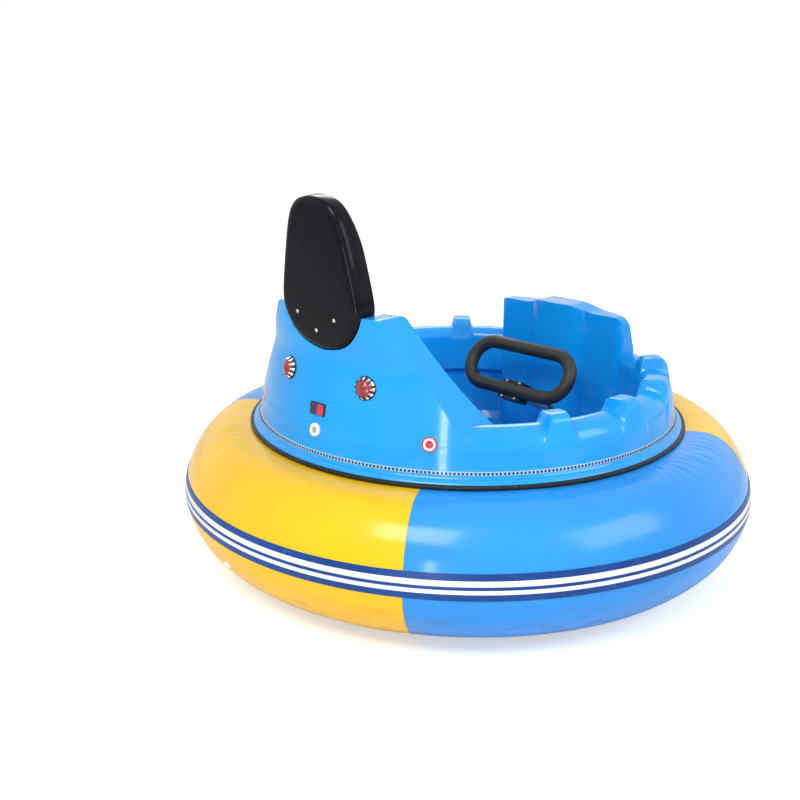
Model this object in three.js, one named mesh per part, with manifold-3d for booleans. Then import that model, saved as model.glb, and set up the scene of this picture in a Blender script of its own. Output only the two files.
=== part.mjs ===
// Inflatable-ring bumper car. Millimetres, +X forward, +Y left, +Z up.
// The origin is on the ground, under the middle of the ring.
import * as THREE from 'three';
import { mergeVertices } from 'three/addons/utils/BufferGeometryUtils.js';
import Module from 'manifold-3d';

const wasm = await Module();
wasm.setup();

// ---- driving dimensions -------------------------------------------------

const gap = 0.3;                 // between pieces that touch
const roundSteps = 72;           // facets round a full-size turned piece

// Air ring: the widest circle is ringRadius, its section is fatter above than below.
const ringRadius = 950;
const ringCentreHeight = 241;
const tubeHalfWidth = 161;
const tubeRise = 221;
const tubeDrop = 196;
const tubeOuterPower = 1.8;      // superellipse powers of the section's outer, shoulder and lower parts
const tubeShoulderPower = 4.5;
const tubeLowerPower = 1.7;
const colourSeams = [-60, 31, 121, 211].map(degrees);
const bandTop = 65;              // rubbing band, above and below the widest circle
const bandBottom = -13;
const bandThickness = 2.4;
const valveAngle = degrees(170);
const valveReach = 0.82;         // share of the section's half width, on its lower side
const valveTilt = 0.9;           // downward for each unit outward
const valveRadius = 16;
const valvePocketDepth = 14;
const valveStand = 5;            // how far it stands out of the ring

// Hull deck: a flange that sits on the ring, a skirt that leans in, and a rolled coaming.
// Every rise is measured from the flange's top.
const tubRoom = 24;              // between the ring's inside and the tub
const coamingOverhang = 30;      // the coaming's inside edge, inside the tub
const flangeSetback = 73;        // the flange's edge, inside the middle of the ring's tube
const flangeThickness = 22.7;
const trimWidth = 11;
const trimDepth = 13;
const skirtSetback = 19.8;       // the skirt's foot, inside the flange's edge
const skirtLean = 0.184;         // inward for each unit of height
const coamingRise = 137.7;
const coamingShoulder = 72;      // height of its outer rounding
const coamingCrown = 43;         // width of its inner rounding
const coamingLip = 39;           // and the height of it
const lampStripRise = 16.7;
const lampStripDepth = 12;
const lampStripThickness = 2.4;
const ribAngles = [43, 67, 91, 115].map(degrees);
const ribWidth = 96;
const ribRise = 171.7;
const ribFootRise = 20.7;
const ribBelly = 8;              // how far it stands out of the skirt half way up
const ribSetback = 6;            // its inner end, outside the coaming's inside edge
const ribRounding = 20;

// Tub under the deck.
const tubWall = 6;
const tubFloor = 246.3;
const tubCorner = 45;

// Rear pod round the seat.
const podRise = 440.7;
const podTopHalfWidth = 218;
const podSideSlope = 1.5;        // drop of the wing's edge for each unit of width
const podOverhang = 6;           // its inside, inside the coaming's inside edge
const podTopRounding = 24;
const podInnerRounding = 8;
const podRecessMargin = 3;
const notchMargin = 0.6;         // round the shell where it stands in the pod
const swellMargin = 6;           // width of the swell's crest round the shell
const swellSetback = 20;         // the crest, in front of the shell's rear face
const swellReach = 86;           // the swell's foot, out from the shell
const swellDepth = 100;

// Front cowl.
const cowlRise = 267.7;
const cowlReach = 74;            // from the coaming's inside edge in towards the driver
const cowlHalfWidth = 272;
const cowlBulge = 38;            // how far the middle stands out towards the driver
const cowlBulgeRise = 23;        // and above the sides
const cowlBulgeHalfWidth = 117;
const cowlBulgeFlank = 34;
const cowlCornerRadius = 34;
const cowlNoseSetback = 30;      // its front edge at the top, outside the coaming's inside edge

// Seat.
const seatLean = degrees(4.4);
const shellSetback = 88;         // its rear face, behind the coaming's inside edge
const shellThickness = 80;
const shellRise = 321.7;         // to the foot of the shell
const shellPivot = 54;           // above its foot: where its place is measured
const shellHeight = 454;
const shellHalfWidth = 165;
const shellEdge = 16;            // how far the rear face falls away towards its edges
const shellRim = 28;             // left round the pocket that holds the pad
const shellPocket = 12;
const padThickness = 52;
const padHalfWidth = 118;        // below the head
const padShoulder = 180;         // from the shell's foot up to where the head starts
const padRise = 15.7;
const cushionLength = 480;
const cushionWidth = 410;
const cushionThickness = 66;
const cushionTop = 440;
const cushionRoom = 36.8;        // between the cushion's rear corners and the tub
const plinthInset = 12;

// Steering loop, its bracket and column.
const steerRake = degrees(30);   // column below the horizontal
const steerReach = 257;          // from the cowl's panels back to the loop's lower bar
const steerHeight = 495;
const loopWidth = 478;
const loopHeight = 206;
const loopTubeRadius = 24;
const loopCornerRadius = 70;
const bracketWall = 10;
const bracketHalfWidth = 45;
const bracketDepth = 52;
const bracketStand = 6;
const columnRadius = 16;
const columnLength = 290;
const bushWall = 7;
const bushStart = 232;           // from the loop's bar along the column
const bushLength = 90;
const columnClearance = 0.5;
const columnEndRoom = 8;

// Chassis.
const plateSetback = 14;         // its edge, inside the tub's outside
const plateThickness = 6;
const plateBottom = 240;
const railOffset = 230;
const railWidth = 40;
const railDepth = 40;
const railSetback = 70;          // a rail's end, inside the plate's edge
const crossFront = 280;
const crossSetback = 60;         // the rear cross bar, inside the rail's rear end
const batteryLength = 360;
const batteryWidth = 386;
const batteryHeight = 160;
const batteryCentre = -10;
const cradleBottom = 70;
const cradleSheet = 4;

// Running gear.
const wheelRadius = 90;
const tyreWidth = 50;
const rimRadius = 58;
const hubWidth = 56;
const rearAxlePlace = -300;
const rearTrack = 660;
const rearAxleRadius = 12.5;
const axleEnd = 12;
const hangerThickness = 8;
const hangerOffset = 258;
const hangerLength = 80;
const axleClearance = 0.3;
const steerAxlePlace = 400;
const frontAxleRadius = 10;
const legThickness = 8;
const legWidth = 50;
const legClearance = 7;
const crownThickness = 10;
const crownClearance = 8;
const stemRadius = 15;
const housingRadius = 45;

// Fittings on the pod and the floor.
const jewelReach = 166.4;        // round the skirt from its rearmost line
const jewelRise = 233.7;
const jewelRadius = 28;
const bezelWidth = 8;
const bezelStep = 5;             // from its rim in to the part that sits in the pod
const markerReach = 383.7;
const markerRise = 95.7;
const markerRadius = 23;
const tailLightRise = 144.7;
const tailLightWidth = 62;
const tailLightDepth = 37;
const chargeCapRise = 81.7;
const chargeCapRadius = 21;
const pedalReach = 130;          // from the cowl's panels back to its middle
const pedalSide = -190;
const pedalLength = 150;
const pedalWidth = 80;
const pedalHeight = 74;
const pedalToe = 14;
const pedalNose = 12;

// ---- materials ----------------------------------------------------------

const paint = (color, roughness, metalness = 0) =>
  new THREE.MeshStandardMaterial({ color, roughness, metalness });

const materials = {
  ringYellow: paint(0xf2a20c, 0.35),
  ringBlue: paint(0x2a86d8, 0.35),
  bandBlue: paint(0x173c8c, 0.4),
  hullBlue: paint(0x159be8, 0.2),
  blackGloss: paint(0x0b0b10, 0.15),
  blackRubber: paint(0x141414, 0.7),
  blackVinyl: paint(0x18181a, 0.55),
  chrome: paint(0xc8ccd2, 0.12, 1),
  redLens: paint(0xc0122a, 0.1),
  white: paint(0xe8e8ea, 0.4),
  steel: paint(0x4c5258, 0.5, 0.8),
  zinc: paint(0x9aa0a6, 0.35, 0.9),
  tyre: paint(0x1b1b1b, 0.8),
  battery: paint(0x2a2d33, 0.6),
};

// ---- shape helpers ------------------------------------------------------

function degrees(angle) {
  return THREE.MathUtils.degToRad(angle);
}

// A closed three.js geometry as a solid that can be cut and joined.
function solid(geometry) {
  const bare = geometry.clone();
  bare.deleteAttribute('normal');
  bare.deleteAttribute('uv');
  const merged = mergeVertices(bare, 1e-4);
  const corners = merged.index.array;
  const kept = [];
  for (let i = 0; i < corners.length; i += 3) {
    const [a, b, c] = corners.slice(i, i + 3);
    if (a !== b && b !== c && c !== a) kept.push(a, b, c);
  }
  return new wasm.Manifold(new wasm.Mesh({
    numProp: 3,
    vertProperties: Float32Array.from(merged.attributes.position.array),
    triVerts: Uint32Array.from(kept),
  }));
}

function geometryOf(body) {
  const mesh = body.getMesh();
  const geometry = new THREE.BufferGeometry();
  geometry.setAttribute('position', new THREE.BufferAttribute(mesh.vertProperties, 3));
  geometry.setIndex(new THREE.BufferAttribute(mesh.triVerts, 1));
  geometry.computeVertexNormals();
  return geometry;
}

// Turned piece round Z from [radius, height] points. A profile that leaves the axis
// and doesn't come back to it is closed on itself.
function turned(profile, steps = roundSteps) {
  const points = profile.map(([r, z]) => new THREE.Vector2(r, z));
  const onAxis = points[0].x === 0 && points[points.length - 1].x === 0;
  if (THREE.ShapeUtils.area(points) < 0) points.reverse();
  if (!onAxis) points.push(points[0].clone());
  return solid(new THREE.LatheGeometry(points, steps).rotateX(Math.PI / 2));
}

const outline = (points) => new THREE.Shape(points.map(([a, b]) => new THREE.Vector2(a, b)));

// Plate shapes: an outline in two of the axes, thickened along the third.
function alongZ(points, low, high) {
  const geometry = new THREE.ExtrudeGeometry(outline(points), { depth: high - low, bevelEnabled: false });
  return solid(geometry.translate(0, 0, low));
}

function alongX(points, low, high) {
  const turn = new THREE.Matrix4().makeBasis(
    new THREE.Vector3(0, 1, 0), new THREE.Vector3(0, 0, 1), new THREE.Vector3(1, 0, 0));
  const geometry = new THREE.ExtrudeGeometry(outline(points), { depth: high - low, bevelEnabled: false });
  return solid(geometry.applyMatrix4(turn).translate(low, 0, 0));
}

function block(x0, x1, y0, y1, z0, z1) {
  return alongZ([[x0, y0], [x1, y0], [x1, y1], [x0, y1]], z0, z1);
}

// Round bar between two heights on Z.
function bar(radius, low, high, steps = 24) {
  return turned([[0, low], [radius, low], [radius, high], [0, high]], steps);
}

function tubeAlong(radius, path, steps, sides = 12) {
  const section = [];
  for (let i = 0; i < sides; i++) {
    const a = (i / sides) * 2 * Math.PI;
    section.push([radius * Math.cos(a), radius * Math.sin(a)]);
  }
  return solid(new THREE.ExtrudeGeometry(outline(section), { steps, extrudePath: path, bevelEnabled: false }));
}

const place = (body, matrix) => body.transform(matrix.toArray());

// Frame whose +Z runs along a direction and whose +Y stays the car's +Y where it can.
function frameAt(origin, direction) {
  const z = direction.clone().normalize();
  const y = new THREE.Vector3(0, 1, 0).addScaledVector(z, -z.y).normalize();
  const x = new THREE.Vector3().crossVectors(y, z);
  return new THREE.Matrix4().makeBasis(x, y, z).setPosition(origin);
}

// Frame whose +Z runs along the car's +Y.
const acrossY = (x, z) => new THREE.Matrix4().makeRotationX(-Math.PI / 2).setPosition(x, 0, z);

// Quarter of an ellipse from [radius, height] at its side up to [radius, height] at its crown.
function rounding([sideRadius, sideHeight], [crownRadius, crownHeight], steps) {
  const points = [];
  for (let i = 0; i <= steps; i++) {
    const a = (i / steps) * (Math.PI / 2);
    points.push([
      crownRadius + (sideRadius - crownRadius) * Math.cos(a),
      sideHeight + (crownHeight - sideHeight) * Math.sin(a),
    ]);
  }
  return points;
}

// Frame on the skirt's surface, its +Z pointing out of it. It is placed by its distance round the
// skirt from the rearmost line.
function skirtFrame(reach, height) {
  const angle = Math.PI - reach / skirtAt(height);
  const out = new THREE.Vector3(Math.cos(angle), Math.sin(angle), skirtLean).normalize();
  const r = skirtAt(height);
  const point = new THREE.Vector3(r * Math.cos(angle), r * Math.sin(angle), height);
  const side = new THREE.Vector3(-Math.sin(angle), Math.cos(angle), 0);
  const up = new THREE.Vector3().crossVectors(out, side);
  return new THREE.Matrix4().makeBasis(side, up, out).setPosition(point);
}

const car = new THREE.Group();
const sides = [['left', 1], ['right', -1]];

function add(name, body, material) {
  const mesh = new THREE.Mesh(geometryOf(body), material);
  mesh.name = name;
  car.add(mesh);
}

// ---- air ring -----------------------------------------------------------

const tubeMiddle = ringRadius - tubeHalfWidth;

// Half the section's height at a distance from its middle, above or below.
function tubeHeight(offset, upper) {
  const share = Math.abs(offset) / tubeHalfWidth;
  const upperPower = offset > 0 ? tubeOuterPower : tubeShoulderPower;
  const power = upper ? upperPower : tubeLowerPower;
  const rise = upper ? tubeRise : -tubeDrop;
  return rise * Math.max(0, 1 - share ** power) ** (1 / power);
}

function tubeSection(margin = 0) {
  const points = [];
  const steps = 26;
  for (let i = 0; i < steps; i++) {
    const a = (i / steps) * 2 * Math.PI;
    const share = Math.sign(Math.cos(a)) * Math.abs(Math.cos(a)) ** 0.85;
    const offset = Math.abs(Math.cos(a)) < 1e-9 ? 0 : tubeHalfWidth * share;
    const rise = tubeHeight(offset, Math.sin(a) >= 0);
    points.push([
      tubeMiddle + offset * (1 + margin / tubeHalfWidth),
      ringCentreHeight + rise * (1 + margin / tubeDrop),
    ]);
  }
  return points;
}

// Height of the faceted ring's upper side at a radius.
function tubeTopAt(radius) {
  const upper = tubeSection().filter(([, z]) => z > ringCentreHeight).sort((a, b) => a[0] - b[0]);
  const next = upper.findIndex(([r]) => r > radius);
  const [[r0, z0], [r1, z1]] = upper.slice(next - 1, next + 1);
  return z0 + ((z1 - z0) * (radius - r0)) / (r1 - r0);
}

// Pie slice between two angles, as tall as the ring. Its sides are set back by half the gap.
function slice(from, to, reach, low, high) {
  const middle = (from + to) / 2;
  const shift = gap / 2 / Math.sin((to - from) / 2);
  const points = [[shift * Math.cos(middle), shift * Math.sin(middle)]];
  const steps = 6;
  for (let i = 0; i <= steps; i++) {
    const a = from + ((to - from) * i) / steps;
    points.push([
      points[0][0] + reach * Math.cos(a),
      points[0][1] + reach * Math.sin(a),
    ]);
  }
  return alongZ(points, low, high);
}

const wholeTube = turned(tubeSection());
const quarterNames = ['tube_front', 'tube_left', 'tube_rear', 'tube_right'];
const valveOffset = tubeHalfWidth * valveReach;
const valvePoint = new THREE.Vector3(
  (tubeMiddle + valveOffset) * Math.cos(valveAngle),
  (tubeMiddle + valveOffset) * Math.sin(valveAngle),
  ringCentreHeight + tubeHeight(valveOffset, false));
const valveOut = new THREE.Vector3(Math.cos(valveAngle), Math.sin(valveAngle), -valveTilt);
const valveFrame = frameAt(valvePoint, valveOut);
const valvePocket = place(bar(valveRadius, -valvePocketDepth, 4 * valvePocketDepth), valveFrame);

quarterNames.forEach((name, i) => {
  const from = colourSeams[i];
  const to = i < 3 ? colourSeams[i + 1] : colourSeams[0] + 2 * Math.PI;
  let quarter = wholeTube.intersect(slice(from, to, 2 * ringRadius, 0, ringCentreHeight + 2 * tubeRise));
  if (name === 'tube_rear') quarter = quarter.subtract(valvePocket);
  add(name, quarter, i % 2 ? materials.ringBlue : materials.ringYellow);
});

const valve = bar(valveRadius - gap, gap - valvePocketDepth, valveStand);
add('air_valve', place(valve, valveFrame), materials.white);

// Rubbing band: follows the tube's outer wall, and is cut to sit off it by the gap.
function bandSection() {
  const points = [[tubeMiddle + tubeHalfWidth * 0.9, ringCentreHeight + bandTop]];
  points.push([tubeMiddle + tubeHalfWidth * 0.9, ringCentreHeight + bandBottom]);
  const steps = 3;
  for (let i = 0; i <= steps; i++) {
    const height = bandBottom + ((bandTop - bandBottom) * i) / steps;
    const power = height > 0 ? tubeOuterPower : tubeLowerPower;
    const depth = height > 0 ? tubeRise : tubeDrop;
    const share = (1 - Math.abs(height / depth) ** power) ** (1 / power);
    const r = tubeMiddle + tubeHalfWidth * share;
    points.push([r + gap + bandThickness, ringCentreHeight + height]);
  }
  return points;
}

const bandSeat = turned(tubeSection(gap));
add('rubbing_band', turned(bandSection()).subtract(bandSeat), materials.bandBlue);

// ---- hull deck ----------------------------------------------------------

const flangeRadius = tubeMiddle - flangeSetback;
const tubRadius = ringRadius - 2 * tubeHalfWidth - tubRoom;
const cockpitRadius = tubRadius - coamingOverhang;

// The trim's outer edge rests on the ring's shoulder.
const trimRadius = flangeRadius + trimWidth;
const flangeHeight = tubeTopAt(trimRadius) + gap;
const flangeTop = flangeHeight + flangeThickness;

// Outer radius of the skirt and pod at a height.
const skirtAt = (z) => flangeRadius - skirtSetback - skirtLean * (z - flangeTop);

const trimTop = flangeHeight + trimDepth;
const flangeSlope = skirtSetback / 2;
add('hull_flange', turned([
  [cockpitRadius, flangeHeight],
  [flangeRadius, flangeHeight],
  [flangeRadius, trimTop],
  [flangeRadius - flangeSlope, flangeTop],
  [cockpitRadius, flangeTop],
]), materials.hullBlue);

const trimRounding = trimWidth / 3;
add('edge_trim', turned([
  [flangeRadius + gap, flangeHeight],
  [trimRadius, flangeHeight],
  [trimRadius, trimTop - trimRounding],
  [trimRadius - trimRounding, trimTop],
  [flangeRadius + gap, trimTop],
]), materials.blackRubber);

// Rear pod as seen from behind: a flat top and two wings that slope down to the flange.
const podFoot = flangeTop + gap;
const podTop = flangeTop + podRise;
const podInnerRadius = cockpitRadius - podOverhang;
const podFootHalfWidth = podTopHalfWidth + (podTop - podFoot) / podSideSlope;

function podOutline(margin) {
  const slant = margin * Math.hypot(1, 1 / podSideSlope);
  return [
    [-podFootHalfWidth - slant, podFoot - margin],
    [podFootHalfWidth + slant, podFoot - margin],
    [podTopHalfWidth + slant, podTop + margin],
    [-podTopHalfWidth - slant, podTop + margin],
  ];
}

const podBack = -flangeRadius;
const podFront = -podInnerRadius / 2;
const podBlank = alongX(podOutline(0), podBack, podFront);

const coamingTop = flangeTop + coamingRise;
const crown = [cockpitRadius + coamingCrown, coamingTop];
const shoulderHeight = coamingTop - coamingShoulder;
const lipHeight = coamingTop - coamingLip;
const coamingProfile = [
  [cockpitRadius, podFoot],
  [skirtAt(podFoot), podFoot],
  ...rounding([skirtAt(shoulderHeight), shoulderHeight], crown, 5),
  ...rounding([cockpitRadius, lipHeight], crown, 3).reverse().slice(1),
];

// One rib of the coaming, seen along its length.
const ribTop = flangeTop + ribRise;
const ribFoot = flangeTop + ribFootRise;
const ribInside = cockpitRadius + ribSetback;
const ribOutside = skirtAt(ribTop);
const ribProfile = [
  [ribInside, shoulderHeight],
  [skirtAt(ribFoot), ribFoot],
  [skirtAt(shoulderHeight) + ribBelly, shoulderHeight],
  ...rounding([ribOutside + ribBelly, ribTop - ribRounding], [ribOutside - ribRounding, ribTop], 3),
  [ribInside + ribRounding, ribTop],
  [ribInside, ribTop - ribRounding],
];

function rib(angle) {
  const half = ribWidth / 2;
  const upright = new THREE.Matrix4().makeRotationX(Math.PI / 2);
  const geometry = new THREE.ExtrudeGeometry(outline(ribProfile), { depth: ribWidth, bevelEnabled: false });
  geometry.applyMatrix4(upright).translate(0, half, 0).rotateZ(angle);
  return solid(geometry);
}

let coaming = turned(coamingProfile);
for (const angle of ribAngles) coaming = coaming.add(rib(angle)).add(rib(-angle));
const cowlRear = cockpitRadius - cowlReach;
const cowlFace = cowlRear - cowlBulge;
const cowlRoom = cowlHalfWidth + gap;
coaming = coaming
  .subtract(alongX(podOutline(gap), podBack, podFront))
  .subtract(block(cowlFace, ringRadius, -cowlRoom, cowlRoom, flangeTop, ribTop + gap));

// Strip of small lamps round the skirt. It sits on the surface, in its own shallow channel.
const stripLow = flangeTop + lampStripRise - lampStripDepth / 2;
const stripHigh = stripLow + lampStripDepth;

function stripRing(inside, outside, margin) {
  return turned([
    [skirtAt(stripLow) - inside, stripLow - margin],
    [skirtAt(stripLow) + outside, stripLow - margin],
    [skirtAt(stripHigh) + outside, stripHigh + margin],
    [skirtAt(stripHigh) - inside, stripHigh + margin],
  ]);
}

const stripSunk = 2;
const lampStrip = stripRing(stripSunk, lampStripThickness, 0);
const stripChannel = stripRing(stripSunk + gap, ribBelly + skirtSetback, gap);
add('lamp_strip', lampStrip, materials.blackGloss);
coaming = coaming.subtract(stripChannel);
for (const [side, sign] of sides) {
  const y = sign * ringRadius;
  const half = block(-ringRadius, ringRadius, Math.min(0, y), Math.max(0, y), flangeTop, ribTop + gap);
  add(`coaming_${side}`, coaming.intersect(half), materials.hullBlue);
}

// ---- cockpit tub --------------------------------------------------------

const tubTop = flangeHeight - gap;
const tubInside = tubRadius - tubWall;
const tubFloorTop = tubFloor + tubWall;
const tubFloorRadius = tubInside - tubCorner;
const tubBend = tubCorner * 0.3;
add('cockpit_floor', turned([
  [0, tubFloor],
  [tubFloorRadius, tubFloor],
  [tubFloorRadius, tubFloorTop],
  [0, tubFloorTop],
]), materials.hullBlue);
add('cockpit_wall', turned([
  [tubFloorRadius + gap, tubFloor],
  [tubRadius - tubCorner, tubFloor],
  [tubRadius - tubBend, tubFloor + tubBend],
  [tubRadius, tubFloor + tubCorner],
  [tubRadius, tubTop],
  [tubInside, tubTop],
  [tubInside, tubFloor + tubCorner],
  [tubInside - tubBend, tubFloorTop + tubBend],
  [tubFloorRadius + gap, tubFloorTop],
]), materials.hullBlue);

// ---- seat ---------------------------------------------------------------

const shellLow = flangeTop + shellRise;
const pivotHeight = shellLow + shellPivot;
const leanBack = new THREE.Matrix4()
  .makeTranslation(-cockpitRadius - shellSetback, 0, pivotHeight)
  .multiply(new THREE.Matrix4().makeRotationY(-seatLean));

// Half outline as seen from behind, as shares of the half width and of the height.
const shellShares = [
  [0.27, 0.013],
  [0.47, 0.033],
  [0.64, 0.066],
  [0.775, 0.110],
  [0.88, 0.163],
  [0.957, 0.220],
  [1, 0.295],
  [0.973, 0.394],
  [0.897, 0.529],
  [0.83, 0.637],
  [0.755, 0.743],
  [0.66, 0.846],
  [0.55, 0.920],
  [0.41, 0.967],
  [0.21, 0.993],
];

// The whole outline about the pivot, grown by a margin.
function shellOutline(margin) {
  const middle = shellHeight / 2 - shellPivot;
  const half = shellShares.map(([across, up]) => [
    across * (shellHalfWidth + margin),
    middle + (up - 0.5) * (shellHeight + 2 * margin),
  ]);
  const mirrored = half.map(([y, z]) => [-y, z]).reverse();
  const reach = shellHeight / 2 + margin;
  return [[0, middle - reach], ...half, [0, middle + reach], ...mirrored];
}

// Pad and the room it needs: the head follows the shell, the rest is straight down.
function padShape(margin, from, to) {
  const half = padHalfWidth + margin;
  const low = flangeTop + padRise - margin - pivotHeight;
  const high = padShoulder - shellPivot;
  const body = [[-half, low], [half, low], [half, high], [-half, high]];
  return alongX(shellOutline(margin - shellRim), from, to).add(alongX(body, from, to));
}

// From above: the rear face is domed in flats.
const planHalf = shellHalfWidth + gap;
const domeSide = [
  [0, planHalf * 0.36],
  [shellEdge * 0.3, planHalf * 0.76],
  [shellEdge, planHalf],
  [shellThickness, planHalf],
];
const shellPlan = [...domeSide, ...domeSide.map(([x, y]) => [x, -y]).reverse()];
const pocketFloor = shellThickness - shellPocket;
const pocketFront = shellThickness + padThickness;
const shell = alongX(shellOutline(0), 0, shellThickness)
  .intersect(alongZ(shellPlan, -shellHeight, shellHeight))
  .subtract(padShape(gap, pocketFloor, pocketFront));
add('seat_back_shell', place(shell, leanBack), materials.blackGloss);

const padBody = padShape(0, pocketFloor + gap, pocketFloor + gap + padThickness);
add('seat_back_pad', place(padBody, leanBack), materials.blackVinyl);

const plinthTop = cushionTop - cushionThickness - gap;
const seatBack = cushionRoom - Math.sqrt(tubInside ** 2 - (cushionWidth / 2) ** 2);
const cushionFront = seatBack + cushionLength;
add('seat_plinth', block(
  seatBack + plinthInset, cushionFront - plinthInset,
  -cushionWidth / 2 + plinthInset, cushionWidth / 2 - plinthInset,
  tubFloorTop + gap, plinthTop), materials.hullBlue);
add('seat_cushion', block(
  seatBack, cushionFront, -cushionWidth / 2, cushionWidth / 2,
  plinthTop + gap, cushionTop), materials.blackVinyl);

// ---- rear pod -----------------------------------------------------------

const podWall = turned([
  [podInnerRadius, podFoot],
  [skirtAt(podFoot), podFoot],
  ...rounding(
    [skirtAt(podTop - podTopRounding), podTop - podTopRounding],
    [skirtAt(podTop) - podTopRounding, podTop], 3),
  [podInnerRadius + podInnerRounding, podTop],
  [podInnerRadius, podTop - podInnerRounding],
]);
const seatNotch = place(alongX(shellOutline(notchMargin), -cockpitRadius, cockpitRadius), leanBack);
const padRecess = place(padShape(podRecessMargin, pocketFloor, cockpitRadius), leanBack);
const seatSwell = wasm.Manifold.hull([
  alongX(shellOutline(swellMargin), swellSetback, swellSetback + gap),
  alongX(shellOutline(swellReach), swellDepth, swellDepth + gap),
]);
let pod = podWall
  .add(place(seatSwell, leanBack))
  .subtract(bar(podInnerRadius, podFoot, podTop + swellReach, roundSteps))
  .intersect(podBlank)
  .subtract(seatNotch)
  .subtract(padRecess)
  .subtract(stripChannel);

// ---- lamps and fittings -------------------------------------------------

// Everything below is drawn on its own axis, with the skirt's surface at height 0.
const fittingSteps = 28;
const cutThrough = 40;           // far enough out of the skirt to clear it
const seatLift = 1.2;            // a fitting's rim, off the curved skirt
const jewelDepth = 20;
const jewelStand = 23;
const bezelStand = 8;
const bezelRadius = jewelRadius + bezelWidth;
const bezelSeat = bezelRadius - bezelStep;
const bezel = turned([
  [jewelRadius + gap, gap - jewelDepth],
  [bezelSeat, gap - jewelDepth],
  [bezelSeat, seatLift],
  [bezelRadius, seatLift],
  [bezelRadius, bezelStand / 2],
  [bezelRadius - bezelWidth / 2, bezelStand],
  [jewelRadius + gap, bezelStand],
], fittingSteps);
const jewel = turned([
  [0, gap - jewelDepth],
  [jewelRadius, gap - jewelDepth],
  ...rounding([jewelRadius, bezelStand], [0, jewelStand], 3),
], fittingSteps);
const jewelBore = bar(bezelSeat + gap, -jewelDepth, cutThrough, fittingSteps);
for (const [side, sign] of sides) {
  const spot = skirtFrame(sign * jewelReach, flangeTop + jewelRise);
  pod = pod.subtract(place(jewelBore, spot));
  add(`jewel_bezel_${side}`, place(bezel, spot), materials.chrome);
  add(`jewel_lamp_${side}`, place(jewel, spot), materials.redLens);
}

const studRadius = 8;
const studDepth = 14;
const studBore = bar(studRadius + gap, -studDepth, cutThrough);

// A round fitting on a stud that sits in the skirt.
function studded(radius, stand) {
  return turned([
    [0, gap - studDepth],
    [studRadius, gap - studDepth],
    [studRadius, seatLift],
    [radius, seatLift],
    [radius, stand / 2],
    [radius * 0.8, stand],
    [0, stand],
  ], fittingSteps);
}

const marker = studded(markerRadius, 7);
for (const [side, sign] of sides) {
  const spot = skirtFrame(sign * markerReach, flangeTop + markerRise);
  pod = pod.subtract(place(studBore, spot));
  add(`side_marker_${side}`, place(marker, spot), materials.white);
}

const lightSpot = skirtFrame(0, flangeTop + tailLightRise);
const lightSunk = 10;
const lightStand = 9;

function lightBlock(margin, low, high) {
  const halfWidth = tailLightWidth / 2 + margin;
  const halfDepth = tailLightDepth / 2 + margin;
  return place(block(-halfWidth, halfWidth, -halfDepth, halfDepth, low, high), lightSpot);
}

pod = pod.subtract(lightBlock(gap, -lightSunk, cutThrough));
add('tail_light', lightBlock(0, gap - lightSunk, lightStand), materials.redLens);

const capSpot = skirtFrame(0, flangeTop + chargeCapRise);
pod = pod.subtract(place(studBore, capSpot));
add('charge_cap', place(studded(chargeCapRadius, 9), capSpot), materials.white);
add('rear_pod', pod, materials.hullBlue);

// ---- steering -----------------------------------------------------------

// The steering frame's +Z runs up the column towards the driver.
const columnUp = new THREE.Vector3(-Math.cos(steerRake), 0, Math.sin(steerRake));
const loopBarPoint = new THREE.Vector3(cowlRear - steerReach, 0, steerHeight);
const steerFrame = frameAt(loopBarPoint, columnUp);
const barHalf = loopWidth / 2 - loopTubeRadius;
const barRise = loopHeight - 2 * loopTubeRadius;

// Half of the loop's centre line. In the steering frame, +X points up the loop.
function halfLoop(sign) {
  const path = new THREE.CurvePath();
  const overlap = 4;
  const point = (up, across) => new THREE.Vector3(up, sign * across, 0);
  const r = loopCornerRadius;
  const line = (a, b) => path.add(new THREE.LineCurve3(a, b));
  const corner = (a, b, c) => path.add(new THREE.QuadraticBezierCurve3(a, b, c));
  line(point(0, -overlap), point(0, barHalf - r));
  corner(point(0, barHalf - r), point(0, barHalf), point(r, barHalf));
  line(point(r, barHalf), point(barRise - r, barHalf));
  corner(point(barRise - r, barHalf), point(barRise, barHalf), point(barRise, barHalf - r));
  line(point(barRise, barHalf - r), point(barRise, -overlap));
  return tubeAlong(loopTubeRadius, path, 26);
}

const loop = halfLoop(1).add(halfLoop(-1));
add('steering_loop', place(loop, steerFrame), materials.blackRubber);

const bracketHalf = loopTubeRadius + bracketWall;
const barBore = bar(loopTubeRadius + gap, -2 * bracketHalfWidth, 2 * bracketHalfWidth, fittingSteps);
const bracket = block(
  -bracketHalf, bracketHalf, -bracketHalfWidth, bracketHalfWidth, -bracketDepth, bracketStand)
  .subtract(place(barBore, acrossY(0, 0)));
add('steering_bracket', place(bracket, steerFrame), materials.blackGloss);

const columnEnd = -bracketDepth - columnLength;
const column = bar(columnRadius, columnEnd, -bracketDepth - gap);
add('steering_column', place(column, steerFrame), materials.zinc);

const bushRadius = columnRadius + columnClearance + bushWall;
const bush = bar(bushRadius, -bushStart - bushLength, -bushStart)
  .subtract(bar(columnRadius + columnClearance, columnEnd, 0));
add('column_bush', place(bush, steerFrame), materials.blackRubber);

// ---- front cowl ---------------------------------------------------------

const cowlTop = flangeTop + cowlRise;
const bulgeTop = cowlTop + cowlBulgeRise;
const cowlNose = cockpitRadius + cowlNoseSetback;

// From above: a flat panel on each side of a bulge that faces the driver.
function cowlPlan() {
  const side = [
    [cowlFace, cowlBulgeHalfWidth - cowlBulgeFlank],
    [cowlRear, cowlBulgeHalfWidth],
    [cowlRear, cowlHalfWidth],
    [ringRadius, cowlHalfWidth],
  ];
  const mirrored = side.map(([x, y]) => [x, -y]).reverse();
  return [...side, ...mirrored];
}

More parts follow.
